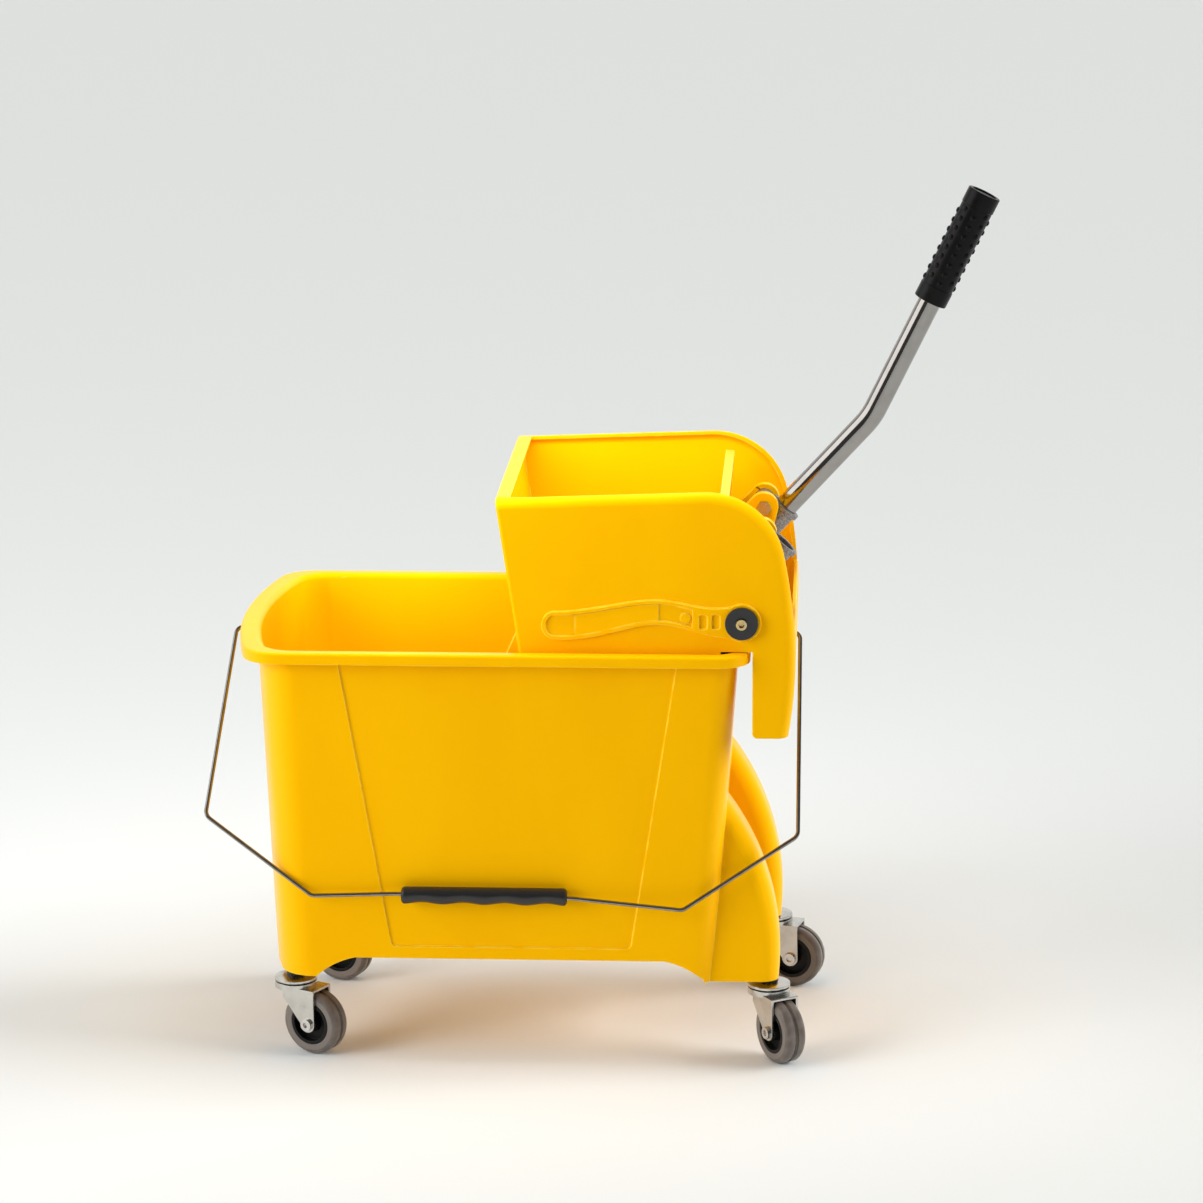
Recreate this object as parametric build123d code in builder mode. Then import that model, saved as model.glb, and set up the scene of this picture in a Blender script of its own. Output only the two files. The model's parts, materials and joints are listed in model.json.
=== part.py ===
from build123d import *
import os
from math import acos, asin, atan, atan2, cos, degrees, radians, sin, sqrt, tan

# Mop bucket with a lever wringer, on four swivel casters. Sizes are in millimetres.
# +X points to the wringer and its handle, +Y to the back long side, +Z up.
# The origin is on the floor, midway between the four caster swivel axes.

# Tub
rim_length = 397.0
rim_width = 270.0
rim_overhang = 9.5
left_overhang = 12.5
rim_left_corner = 30.0
rim_right_corner = 24.0
lip_height = 9.0
lip_wall = 2.6
lip_round = 2.4
rim_inner_round = 5.0
lip_undercut = 0.4
tub_height = 265.0
tub_wall = 3.0
tub_draft = 18.0
left_upright = 8.5
tub_left_corner = 28.0
tub_right_corner = 18.0
end_bow = 18.0
skirt_rise = 16.0
floor_rise = 26.0
floor_thickness = 3.0
floor_round = 8.0

# Feet, and the pods over the right casters
left_foot_margin = 19.0
right_foot_margin = 50.0
right_foot_drop = 2.6
foot_inner_margin = 28.0
arch_run = 30.0
arch_bend = (13.5, 10.0)
pod_height = 142.0
pod_bulge_height = 76.0
pod_margin = 7.5
pod_side_step = 8.0
pod_round = 13.0

# Recessed panel on each long side
relief_offset = 15.5
relief_top_width = 256.0
relief_bottom_width = 184.0
relief_depth = 1.5
relief_round = 4.0

# Casters
caster_left_margin = 44.0
caster_right_overhang = 15.0
caster_side_margin = 21.5
wheel_diameter = 50.0
wheel_width = 18.0
hub_diameter = 33.4
hub_web = 6.0
hub_rim = 2.5
boss_diameter = 13.0
boss_flare = 1.0
tread_groove = 2.2
tyre_round = 4.5
caster_trail = 18.0
race_diameter = 33.0
race_thickness = 4.2
race_gap = 1.0
dish_thickness = 3.0
fork_plate = 2.0
fork_leg = 2.2
fork_side_gap = 0.8
fork_tail = 24.0
fork_nose = 4.5
fork_eye = 6.5
wheel_headroom = 0.8
stem_diameter = 10.0
stem_length = 21.0
stem_top_gap = 1.0
stem_chamfer = 1.0
kingpin_diameter = 8.0
kingpin_head = 12.0
collar_diameter = 14.4
collar_height = 4.6
ball_diameter = 3.0
ball_count = 12
ball_circle = 22.0
axle_diameter = 6.0
axle_head = 9.5
axle_head_height = 2.4
axle_recess = 4.4
axle_recess_depth = 1.8
axle_nut = 10.0
axle_nut_height = 3.0
axle_tail = 1.0
caster_angles = {
    "front_left": (-1, -1, -28.0),
    "front_right": (1, -1, -58.0),
    "back_left": (-1, 1, -20.0),
    "back_right": (1, 1, -14.0),
}

# Wringer housing
hood_length = 226.0
hood_rise = 117.0
hood_overhang = 34.2
hood_right_set = 23.3
hood_side_gap = 2.5
hood_wall = 3.0
hood_left_lean = 8.4
hood_top_rise = 2.1
hood_corner = 60.0
hood_border = 9.0
hood_left_round = 3.0
hood_flange = 12.0
hood_side_lip = 6.0
hood_back_rise = 16.0
leg_drop = 67.0
leg_gap = 1.8
leg_right_set = 5.2
leg_round = 4.0
basin_depth = 102.0
basin_inset = 22.0
basin_step = 12.0
basin_round = 8.0
shoulder_drop = 8.0
ledge_inset = 149.0
ledge_length = 40.0
ledge_height = 12.0
ledge_side_gap = 1.0
pivot_boss_diameter = 26.0
pivot_boss_length = 11.0
bail_slot = 9.0
drain_slot = (20.0, 6.0)
drain_grid = (4, 6)
drain_margin = (27.0, 33.0)
gusset_reach = 17.0
gusset_height = 29.0
gusset_drop = 16.0
gusset_width = 18.0
gusset_inset = 7.0
gusset_wall = 2.4
gusset_top_wall = 7.2

# Arm raised on each side panel, measured from the lever's pivot
arm_upper = [(-142.6, 7.6), (-99.6, 12.6), (-57.6, 16.9), (-29.6, 11.8), (-9.0, 12.0)]
arm_lower = [(-9.0, -12.0), (-31.6, -7.9), (-57.6, -2.0), (-99.6, -8.9), (-142.6, -13.6)]
arm_end = (-150.3, -3.0)
arm_ring = 14.5
arm_height = 2.5
arm_border = 3.0
arm_pad = (-125.0, -62.0, 0.8)
arm_pockets = [(-147.0, -125.0, 1.7), (-62.0, -37.0, 1.7)]
arm_stud = (-42.0, 3.5)
arm_stud_diameter = 8.0
arm_stud_height = 1.2
arm_slots = [(-28.8, 0.5), (-19.2, 0.8)]
arm_slot = (6.0, 11.0)
arm_slot_round = 1.8
arm_slot_depth = 1.7

# Press lever
pivot_inset = 6.4
pivot_rise = 23.4
shaft_diameter = 12.0
washer_diameter = 25.0
washer_thickness = 3.0
screw_diameter = 6.0
screw_head = 8.4
screw_head_height = 2.6
screw_hex = 4.0
screw_hex_depth = 3.2
screw_length = 15.0
screw_tip_gap = 4.0
plate_offset = 24.3
plate_lean = 4.4
plate_rise = 88.6
plate_drop = 117.4
plate_side_gap = 7.0
plate_thickness = 4.0
plate_flange = 3.0
plate_flange_wall = 3.5
plate_corner = 10.0
plate_hole = 8.0
plate_hole_grid = (8, 4)
plate_hole_margin = 24.5
plate_hole_pitch = 21.0
plate_hole_drop = 68.0
lever_arm = 7.0
lever_arm_drop = 18.0
lever_arm_rise = 36.0
lever_arm_root = 1.0
lever_hub = 22.0
lug_offset = (13.4, 52.6)
lug_radius = 11.5
spacer_diameter = 18.0
spring_wire = 2.4
spring_clearance = 0.5
spring_pitch = 2.9
spring_start = 6.0
spring_arm_gap = 3.5

# Handle sockets and handle
socket_side_margin = 36.0
socket_offset = (30.9, 49.3)
socket_angle = 47.5
socket_wall = 1.9
socket_lip_wall = 1.8
socket_lip = 4.0
socket_length = 40.0
socket_floor = 4.0
socket_slit = 2.6
socket_slit_depth = 11.0
socket_boss = 16.0
socket_boss_margin = 0.5
socket_web = 14.0
socket_web_span = (8.0, 30.0)
socket_heel_rise = 30.6
socket_heel = 12.0
bolt_diameter = 6.0
bolt_head = 10.0
bolt_head_height = 4.0
bolt_tail = 1.5
nut_height = 5.0
handle_diameter = 18.0
handle_wall = 1.5
handle_lower = 97.7
handle_upper = 193.4
handle_upper_angle = 64.2
handle_bend_radius = 60.0
grip_wall = 4.2
grip_length = 94.3
grip_end = 3.0
grip_round = 2.5

# Bail, with places given along the tub and away from its pivot
bail_wire_diameter = 3.2
bail_pivot_drop = 14.0
bail_left_gap = 7.6
bail_right_gap = 2.5
bail_left_flare = 16.0
bail_left_arm = 154.5
bail_left_knee = (69.6, 217.6)
bail_right_arm = 165.5
bail_right_knee = (87.2, 225.5)
bail_grip_offset = -19.5
bail_grip_run = 135.0
bail_grip_reach = (215.3, 217.3)
bail_end_bend = 6.0
bail_arm_bend = 8.0
bail_crook_bend = 60.0
bail_pin_depth = 9.0
bail_ear = 16.0
bail_ear_drop = 1.0
bail_grip_diameter = 13.6
bail_grip_wave = 0.9
bail_grip_waves = 4
bail_grip_margin = 4.0
bail_rest_gap = 0.3

# Clearances
running = 0.05
slip = 0.1
fixed = 0.02
side_gap = 0.25
seat_gap = 0.3

# Heights of the casters and the tub, from the floor up
wheel_radius = wheel_diameter / 2
plate_low = wheel_diameter + wheel_headroom
dish_low = plate_low + fork_plate
dish_high = dish_low + dish_thickness
race_low = dish_high + race_gap
race_high = race_low + race_thickness
foot_bottom = race_high + collar_height
foot_low = foot_bottom - right_foot_drop
skirt_bottom = foot_bottom + skirt_rise
floor_top = foot_bottom + floor_rise
rim_top = foot_bottom + tub_height
rim_bottom = rim_top - lip_height
bail_pivot_z = rim_top - bail_pivot_drop

# Places along the tub
caster_spacing_x = rim_length - caster_left_margin + caster_right_overhang
rim_left = -caster_spacing_x / 2 - caster_left_margin
rim_right = rim_left + rim_length
relief_middle = (rim_left + rim_right) / 2 + relief_offset
left_foot_end = -caster_spacing_x / 2 + left_foot_margin
right_foot_start = caster_spacing_x / 2 - right_foot_margin
pod_reach = caster_spacing_x / 2 + pod_margin
bail_left_face = rim_left + lip_wall / 2
bail_right_face = rim_right - lip_wall / 2

os.makedirs("parts", exist_ok=True)


def save(piece: BuildPart, name: str) -> None:
    """Label a finished piece and write it as its own file."""
    piece.part.label = name
    export_step(piece.part, f"parts/{name}.step")


def wall_inset(z: float) -> float:
    """How far the tub's outer wall stands in from the rim's edge at a height."""
    return rim_overhang + tub_draft * (rim_top - z) / tub_height


def left_shift(z: float) -> float:
    """How much further in the tub's left end stands than its other walls at a height."""
    return left_overhang - rim_overhang - left_upright * (rim_top - z) / tub_height


def half_width(z: float) -> float:
    """Half the tub's outer width at a height."""
    return rim_width / 2 - wall_inset(z)


def tub_plan(inset: float, left_corner: float, right_corner: float, shift: float = 0.0) -> Sketch:
    """Plan outline of the tub, a given distance inside the rim's outer edge."""
    left = rim_left + inset + shift
    right = rim_right - inset
    half = rim_width / 2 - inset
    with BuildSketch() as plan:
        with BuildLine():
            Polyline((left + end_bow, half), (right, half), (right, -half), (left + end_bow, -half))
            ThreePointArc((left + end_bow, -half), (left, 0), (left + end_bow, half))
        make_face()
        fillet(plan.vertices().group_by(Axis.X)[-1], right_corner)
        fillet(plan.vertices().group_by(Axis.X)[0], left_corner)
    return plan.sketch


def pod_side(inset: float, low: float) -> Sketch:
    """Side outline of a pod, a given distance inside its outer face."""
    top = foot_bottom + pod_height - 2 * inset
    start = (rim_right - wall_inset(foot_bottom + pod_height), top)
    bulge = (caster_spacing_x / 2 - inset, foot_bottom + pod_bulge_height - inset)
    end = (pod_reach - 2 * inset, low)
    with BuildSketch() as outline:
        with BuildLine():
            Polyline(start, (right_foot_start, top), (right_foot_start, low), end)
            ThreePointArc(end, bulge, start)
        make_face()
    return outline.sketch


# Places across the tub
caster_spacing_y = 2 * (half_width(foot_bottom) - caster_side_margin)
foot_gap = caster_spacing_y - 2 * foot_inner_margin
pod_outer = half_width(foot_bottom) - pod_side_step
hood_half = rim_width / 2 - rim_overhang - tub_wall - hood_side_gap
basin_half = hood_half - basin_step
draft_angle = atan(tub_draft / tub_height)
shoulder_z = rim_top - shoulder_drop

# Tub: a drafted shell with a rolled rim
with BuildPart() as tub_cavity:
    cavity_corners = (tub_left_corner - tub_wall, tub_right_corner - tub_wall)
    with BuildSketch(Plane.XY.offset(floor_top)):
        add(tub_plan(wall_inset(floor_top) + tub_wall, *cavity_corners, left_shift(floor_top)))
    with BuildSketch(Plane.XY.offset(rim_top)):
        add(tub_plan(rim_overhang + tub_wall, *cavity_corners, left_shift(rim_top)))
    loft()
    fillet(tub_cavity.faces().sort_by(Axis.Z)[0].edges(), floor_round)

with BuildPart() as pods:
    with BuildSketch(Plane.XZ.offset(pod_outer)):
        add(pod_side(0, foot_low))
    extrude(amount=foot_gap / 2 - pod_outer)
    fillet(pods.edges().filter_by(GeomType.CIRCLE), pod_round)
    mirror(about=Plane.XZ)

with BuildPart() as pod_cavity:
    with BuildSketch(Plane.XZ.offset(pod_outer - tub_wall)):
        add(pod_side(tub_wall, floor_top))
    extrude(amount=foot_gap / 2 - pod_outer + 2 * tub_wall)
    fillet(pod_cavity.edges().filter_by(GeomType.CIRCLE), pod_round - tub_wall)
    mirror(about=Plane.XZ)

with BuildPart() as bucket:
    with BuildSketch(Plane.XY.offset(foot_low)):
        add(tub_plan(wall_inset(foot_low), tub_left_corner, tub_right_corner, left_shift(foot_low)))
    with BuildSketch(Plane.XY.offset(rim_top)):
        add(tub_plan(rim_overhang, tub_left_corner, tub_right_corner, left_shift(rim_top)))
    loft()
    # Ears for the bail, under the rim at both ends
    ear_low = bail_pivot_z - bail_ear / 2
    ear_high = rim_bottom - bail_ear_drop
    for face, direction, shift in ((bail_left_face, 1, left_shift(ear_low)), (bail_right_face, -1, 0)):
        ear_length = wall_inset(ear_low) + shift - lip_wall / 2 + tub_wall / 2
        with Locations((face + direction * ear_length / 2, 0, (ear_low + ear_high) / 2)):
            Box(ear_length, bail_ear, ear_high - ear_low)
    add(pods.part)
    # Rolled rim, open underneath
    with BuildSketch(Plane.XY.offset(rim_bottom)):
        add(tub_plan(0, rim_left_corner, rim_right_corner))
    extrude(amount=lip_height)
    fillet(bucket.edges().group_by(Axis.Z)[-1], lip_round)
    with BuildSketch(Plane.XY.offset(rim_bottom)):
        add(tub_plan(lip_wall, rim_left_corner - lip_wall, rim_right_corner - lip_wall))
        undercut = wall_inset(rim_bottom) + lip_undercut
        add(
            tub_plan(undercut, tub_left_corner, tub_right_corner, left_shift(rim_bottom)),
            mode=Mode.SUBTRACT,
        )
    extrude(amount=lip_height - lip_wall, mode=Mode.SUBTRACT)
    add(tub_cavity.part, mode=Mode.SUBTRACT)
    rim_inner = rim_width / 2 - rim_overhang - tub_wall
    inner_edges = bucket.edges().group_by(Axis.Z)[-1].filter_by(
        lambda edge: abs(edge.bounding_box().max.Y) < rim_inner + running
        and edge.bounding_box().max.X < rim_right - rim_overhang - tub_wall + running
        and edge.bounding_box().min.X > rim_left + rim_overhang + tub_wall - running
    )
    fillet(inner_edges, rim_inner_round)
    add(pod_cavity.part, mode=Mode.SUBTRACT)
    # Ledges that carry the wringer's shoulders
    ledge_top = shoulder_z - seat_gap
    ledge_inner = basin_half + ledge_side_gap
    ledge_outer = half_width(ledge_top - ledge_height) - tub_wall / 2
    for side in (-1, 1):
        ledge_x = rim_right - ledge_inset + ledge_length / 2
        ledge_y = side * (ledge_inner + ledge_outer) / 2
        with Locations((ledge_x, ledge_y, ledge_top - ledge_height / 2)):
            Box(ledge_length, ledge_outer - ledge_inner, ledge_height)
    # Holes that the bail's ends turn in
    for face, direction in ((bail_left_face, 1), (bail_right_face, -1)):
        with BuildSketch(Plane.YZ.offset(face)):
            with Locations((0, bail_pivot_z)):
                Circle(bail_wire_diameter / 2 + slip)
        extrude(amount=direction * (bail_pin_depth + slip), mode=Mode.SUBTRACT)
    # Arches under the long sides and under the ends, and the shorter left feet
    with BuildSketch(Plane.XZ):
        with BuildLine():
            left_top = (left_foot_end + arch_run, skirt_bottom)
            right_top = (right_foot_start - arch_run, skirt_bottom)
            ThreePointArc(
                (left_foot_end, foot_bottom),
                (left_foot_end + arch_bend[0], foot_bottom + arch_bend[1]),
                left_top,
            )
            Line(left_top, right_top)
            ThreePointArc(
                right_top,
                (right_foot_start - arch_bend[0], foot_bottom + arch_bend[1]),
                (right_foot_start, foot_bottom),
            )
            Polyline(
                (right_foot_start, foot_bottom),
                (right_foot_start, foot_bottom - skirt_rise),
                (rim_left, foot_bottom - skirt_rise),
                (rim_left, foot_bottom),
                (left_foot_end, foot_bottom),
            )
        make_face()
    extrude(amount=rim_width, both=True, mode=Mode.SUBTRACT)
    with BuildSketch(Plane.YZ):
        with Locations((0, skirt_bottom)):
            Rectangle(foot_gap, 2 * skirt_rise, align=(Align.CENTER, Align.MAX))
    extrude(amount=rim_length, both=True, mode=Mode.SUBTRACT)
    # Hollow under the floor, between the feet
    with BuildSketch(Plane.XY.offset(skirt_bottom)):
        with Locations(((left_foot_end + right_foot_start) / 2, 0)):
            RectangleRounded(
                right_foot_start - left_foot_end,
                2 * (half_width(skirt_bottom) - tub_wall),
                floor_round,
            )
    extrude(amount=floor_top - floor_thickness - skirt_bottom, mode=Mode.SUBTRACT)
    # Recessed panels on the long sides
    relief_mid_z = (rim_bottom + floor_top) / 2
    relief_height = (rim_bottom - floor_top) / cos(draft_angle)
    for side in (-1, 1):
        wall_plane = Plane(
            origin=(relief_middle, side * half_width(relief_mid_z), relief_mid_z),
            x_dir=(-side, 0, 0),
            z_dir=(0, side * cos(draft_angle), -sin(draft_angle)),
        )
        with BuildSketch(wall_plane) as relief:
            with BuildLine():
                Polyline(
                    (-relief_top_width / 2, relief_height / 2),
                    (relief_top_width / 2, relief_height / 2),
                    (relief_bottom_width / 2, -relief_height / 2),
                    (-relief_bottom_width / 2, -relief_height / 2),
                    close=True,
                )
            make_face()
            fillet(relief.vertices().group_by(Axis.Y)[0], relief_round)
        extrude(amount=-relief_depth, mode=Mode.SUBTRACT)
    # Holes for the caster stems
    with BuildSketch(Plane.XY.offset(foot_low)):
        with GridLocations(caster_spacing_x, caster_spacing_y, 2, 2):
            Circle(stem_diameter / 2 + running)
    extrude(amount=right_foot_drop + stem_length + stem_top_gap, mode=Mode.SUBTRACT)
save(bucket, "bucket")

# Casters
ball_height = (dish_high + race_low) / 2
ball_groove = ball_diameter / 2 + running
leg_inner = wheel_width / 2 + fork_side_gap
leg_outer = leg_inner + fork_leg
boss_end = leg_inner - side_gap

with BuildPart() as stem_collars:
    for side, collar_top in ((-1, foot_bottom), (1, foot_low)):
        with BuildSketch(Plane.XY.offset(race_high)):
            with Locations((side * caster_spacing_x / 2, 0)):
                with GridLocations(caster_spacing_x, caster_spacing_y, 1, 2):
                    Circle(collar_diameter / 2)
                    Circle(stem_diameter / 2 + running, mode=Mode.SUBTRACT)
        extrude(amount=collar_top - race_high)
save(stem_collars, "stem_collars")

for place, (x_side, y_side, angle) in caster_angles.items():
    swivel = Plane(
        origin=(x_side * caster_spacing_x / 2, y_side * caster_spacing_y / 2, 0),
        x_dir=(cos(radians(angle)), sin(radians(angle)), 0),
        z_dir=(0, 0, 1),
    )
    side_view = Plane(origin=swivel.origin, x_dir=swivel.x_dir, z_dir=-swivel.y_dir)
    swivel_axis = Axis(swivel.origin, (0, 0, 1))
    hub_centre = swivel.from_local_coords((caster_trail, 0, wheel_radius))
    axle_axis = Axis(hub_centre, swivel.y_dir)
    axle_plane = Plane(origin=hub_centre, x_dir=swivel.y_dir, z_dir=swivel.x_dir)

    with BuildPart() as caster_stem:
        with BuildSketch(side_view):
            with BuildLine():
                Polyline(
                    (0, plate_low - fork_plate),
                    (kingpin_head / 2, plate_low - fork_plate),
                    (kingpin_head / 2, plate_low - side_gap),
                    (kingpin_diameter / 2, plate_low - side_gap),
                    (kingpin_diameter / 2, race_high),
                    (stem_diameter / 2, race_high),
                    (stem_diameter / 2, foot_bottom + stem_length),
                    (0, foot_bottom + stem_length),
                    close=True,
                )
            make_face()
        revolve(axis=swivel_axis)
        chamfer(caster_stem.edges().group_by(Axis.Z)[-1], stem_chamfer)
    save(caster_stem, f"caster_stem_{place}")

    with BuildPart() as caster_race:
        with BuildSketch(side_view):
            with BuildLine():
                Polyline(
                    (kingpin_diameter / 2 + fixed, race_low),
                    (race_diameter / 2, race_low),
                    (race_diameter / 2, race_high - race_thickness / 2),
                    (collar_diameter / 2, race_high),
                    (kingpin_diameter / 2 + fixed, race_high),
                    close=True,
                )
            make_face()
            with Locations((ball_circle / 2, ball_height)):
                Circle(ball_groove, mode=Mode.SUBTRACT)
        revolve(axis=swivel_axis)
    save(caster_race, f"caster_race_{place}")

    with BuildPart() as caster_balls:
        with Locations(swivel.offset(ball_height)):
            with PolarLocations(ball_circle / 2, ball_count):
                Sphere(ball_diameter / 2)
    save(caster_balls, f"caster_balls_{place}")

    with BuildPart() as caster_fork:
        # Plate and legs, bent from one sheet
        with BuildSketch(swivel.offset(plate_low)):
            with Locations(((fork_tail - fork_nose) / 2, 0)):
                Rectangle(fork_tail + fork_nose, 2 * leg_outer)
            Circle(race_diameter / 2)
        extrude(amount=fork_plate)
        with BuildSketch(side_view):
            with BuildLine():
                Polyline(
                    (caster_trail + fork_eye, wheel_radius),
                    (fork_tail, plate_low + fork_plate / 2),
                    (-fork_nose, plate_low + fork_plate / 2),
                    (-fork_nose, plate_low - fork_eye),
                    (caster_trail - fork_eye, wheel_radius),
                )
                ThreePointArc(
                    (caster_trail - fork_eye, wheel_radius),
                    (caster_trail, wheel_radius - fork_eye),
                    (caster_trail + fork_eye, wheel_radius),
                )
            make_face()
        extrude(amount=leg_outer, both=True)
        with BuildSketch(swivel):
            with Locations((caster_trail, 0)):
                Rectangle(wheel_diameter + race_diameter, 2 * leg_inner)
        extrude(amount=plate_low, mode=Mode.SUBTRACT)
        # Lower ball race, pressed up from the plate
        with BuildSketch(side_view):
            with Locations((race_diameter / 4, (dish_low + dish_high) / 2)):
                Rectangle(race_diameter / 2, dish_thickness)
            with Locations((ball_circle / 2, ball_height)):
                Circle(ball_groove, mode=Mode.SUBTRACT)
        revolve(axis=swivel_axis)
        with BuildSketch(swivel.offset(plate_low)):
            Circle(kingpin_diameter / 2 + running)
        extrude(amount=fork_plate + dish_thickness, mode=Mode.SUBTRACT)
        with BuildSketch(side_view):
            with Locations((caster_trail, wheel_radius)):
                Circle(axle_diameter / 2 + fixed)
        extrude(amount=leg_outer, both=True, mode=Mode.SUBTRACT)
    save(caster_fork, f"caster_fork_{place}")

    with BuildPart() as caster_axle:
        axle_tip = leg_outer + axle_nut_height + axle_tail
        with BuildSketch(axle_plane):
            with BuildLine():
                Polyline(
                    (axle_recess_depth - leg_outer - axle_head_height, 0),
                    (axle_recess_depth - leg_outer - axle_head_height, axle_recess / 2),
                    (-leg_outer - axle_head_height, axle_recess / 2),
                    (-leg_outer - axle_head_height, axle_head / 2),
                    (-leg_outer, axle_head / 2),
                    (-leg_outer, axle_diameter / 2),
                    (axle_tip, axle_diameter / 2),
                    (axle_tip, 0),
                    close=True,
                )
            make_face()
        revolve(axis=axle_axis)
        with BuildSketch(Plane(hub_centre, x_dir=(0, 0, 1), z_dir=swivel.y_dir).offset(leg_outer)):
            RegularPolygon(axle_nut / 2, 6, major_radius=False)
        extrude(amount=axle_nut_height)
    save(caster_axle, f"caster_axle_{place}")

    with BuildPart() as wheel_hub:
        with BuildSketch(axle_plane):
            hub_radius = hub_diameter / 2 - fixed
            bore = axle_diameter / 2 + running
            with BuildLine():
                Polyline(
                    (-boss_end, bore),
                    (boss_end, bore),
                    (boss_end, boss_diameter / 2),
                    (hub_web / 2, boss_diameter / 2 + boss_flare),
                    (hub_web / 2, hub_radius - hub_rim),
                    (wheel_width / 2, hub_radius - hub_rim),
                    (wheel_width / 2, hub_radius),
                    (-wheel_width / 2, hub_radius),
                    (-wheel_width / 2, hub_radius - hub_rim),
                    (-hub_web / 2, hub_radius - hub_rim),
                    (-hub_web / 2, boss_diameter / 2 + boss_flare),
                    (-boss_end, boss_diameter / 2),
                    close=True,
                )
            make_face()
        revolve(axis=axle_axis)
    save(wheel_hub, f"wheel_hub_{place}")

    with BuildPart() as wheel_tyre:
        with BuildSketch(axle_plane) as tyre_profile:
            with Locations((0, (hub_diameter + wheel_diameter) / 4)):
                Rectangle(wheel_width, (wheel_diameter - hub_diameter) / 2)
            fillet(tyre_profile.vertices().group_by(Axis.Y)[-1], tyre_round)
            with Locations((0, wheel_radius)):
                Rectangle(tread_groove, tread_groove, mode=Mode.SUBTRACT)
        revolve(axis=axle_axis)
    save(wheel_tyre, f"wheel_tyre_{place}")

# Wringer housing: a hood above the rim and a basin inside the tub
hood_right = rim_right + hood_overhang
hood_left_top = (hood_right - hood_length, rim_top + hood_rise)
core_right = hood_right - hood_wall
leg_left = rim_right + leg_gap
leg_bottom = rim_top - leg_drop
slot_top = rim_top + seat_gap
seat_top = slot_top + hood_wall
basin_right = rim_right - basin_inset
basin_bottom = rim_top - basin_depth
hood_back_top = rim_top + hood_back_rise
pivot = (rim_right - pivot_inset, rim_top + pivot_rise)
pivot_axis = Location((pivot[0], 0, pivot[1]), (90, 0, 0))
arm_face = hood_half + arm_height


def hood_left(z: float) -> float:
    """Outer face of the wringer's left wall at a height."""
    return hood_left_top[0] + (hood_left_top[1] - z) * tan(radians(hood_left_lean))


def hood_top(x: float) -> float:
    """Top edge of the wringer's side panels at a place along the tub."""
    return hood_left_top[1] + (x - hood_left_top[0]) * tan(radians(hood_top_rise))


def hood_right_edge(inset: float) -> list[tuple[float, float]]:
    """Three places on the bulged right edge of the side panels, a given distance inside it."""
    top_x = hood_right - hood_right_set - inset
    return [
        (top_x, hood_top(top_x) - inset),
        (hood_right - inset, bail_pivot_z),
        (hood_right - leg_right_set - inset, leg_bottom - inset),
    ]


def basin_side(inset: float, top: float) -> Sketch:
    """Side outline of the basin, a given distance inside its outer face."""
    low = basin_bottom + inset
    lean_inset = inset / cos(radians(hood_left_lean))
    with BuildSketch() as outline:
        with BuildLine():
            Polyline(
                (hood_left(top) + lean_inset, top),
                (hood_left(low) + lean_inset, low),
                (basin_right - inset, low),
                (basin_right - inset, top),
                close=True,
            )
        make_face()
        fillet(outline.vertices().group_by(Axis.Y)[0], basin_round - inset)
    return outline.sketch


def arm_outline(inset: float) -> Sketch:
    """Side outline of the arm raised on a side panel, a given distance inside its edge."""
    with BuildSketch() as outline:
        with BuildLine():
            upper = Spline(*[(x, z - inset) for x, z in arm_upper])
            lower = Spline(*[(x, z + inset) for x, z in arm_lower])
            Line(upper @ 1, lower @ 0)
            ThreePointArc(lower @ 1, (arm_end[0] + inset, arm_end[1]), upper @ 0)
        make_face()
    return outline.sketch


def arm_hollow(start: float, stop: float) -> Sketch:
    """The part of the raised arm inside its border, between two places along it."""
    with BuildSketch() as hollow:
        add(arm_outline(arm_border))
        with Locations(((start + stop) / 2, 0)):
            Rectangle(stop - start, 4 * arm_ring, mode=Mode.INTERSECT)
    return hollow.sketch


with BuildPart() as hood_core:
    with BuildSketch(Plane.XZ) as core_side:
        core_low = shoulder_z + hood_wall
        core_top = hood_left_top[1] - hood_wall
        lean_wall = hood_wall / cos(radians(hood_left_lean))
        core_start = (hood_left(core_low) + lean_wall, core_low)
        core_edge = hood_right_edge(hood_wall)
        with BuildLine():
            Polyline(core_start, (hood_left(core_top) + lean_wall, core_top), core_edge[0])
            ThreePointArc(*core_edge)
            Polyline(
                core_edge[-1],
                (leg_left - hood_wall, leg_bottom - hood_wall),
                (leg_left - hood_wall, seat_top),
                (basin_right - hood_wall, seat_top),
                (basin_right - hood_wall, core_low),
                core_start,
            )
        make_face()
        fillet(core_side.vertices().group_by(Axis.Y)[-1], hood_corner - hood_wall)
    extrude(amount=hood_half - hood_wall, both=True)
    core_border = hood_core.edges().filter_by(
        lambda edge: abs(edge.center().Y) > hood_half - hood_wall - running
        and (edge.center().Z > core_top - hood_wall or edge.center().X > leg_left + leg_round)
    )
    fillet(core_border, hood_border - hood_wall)

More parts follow.
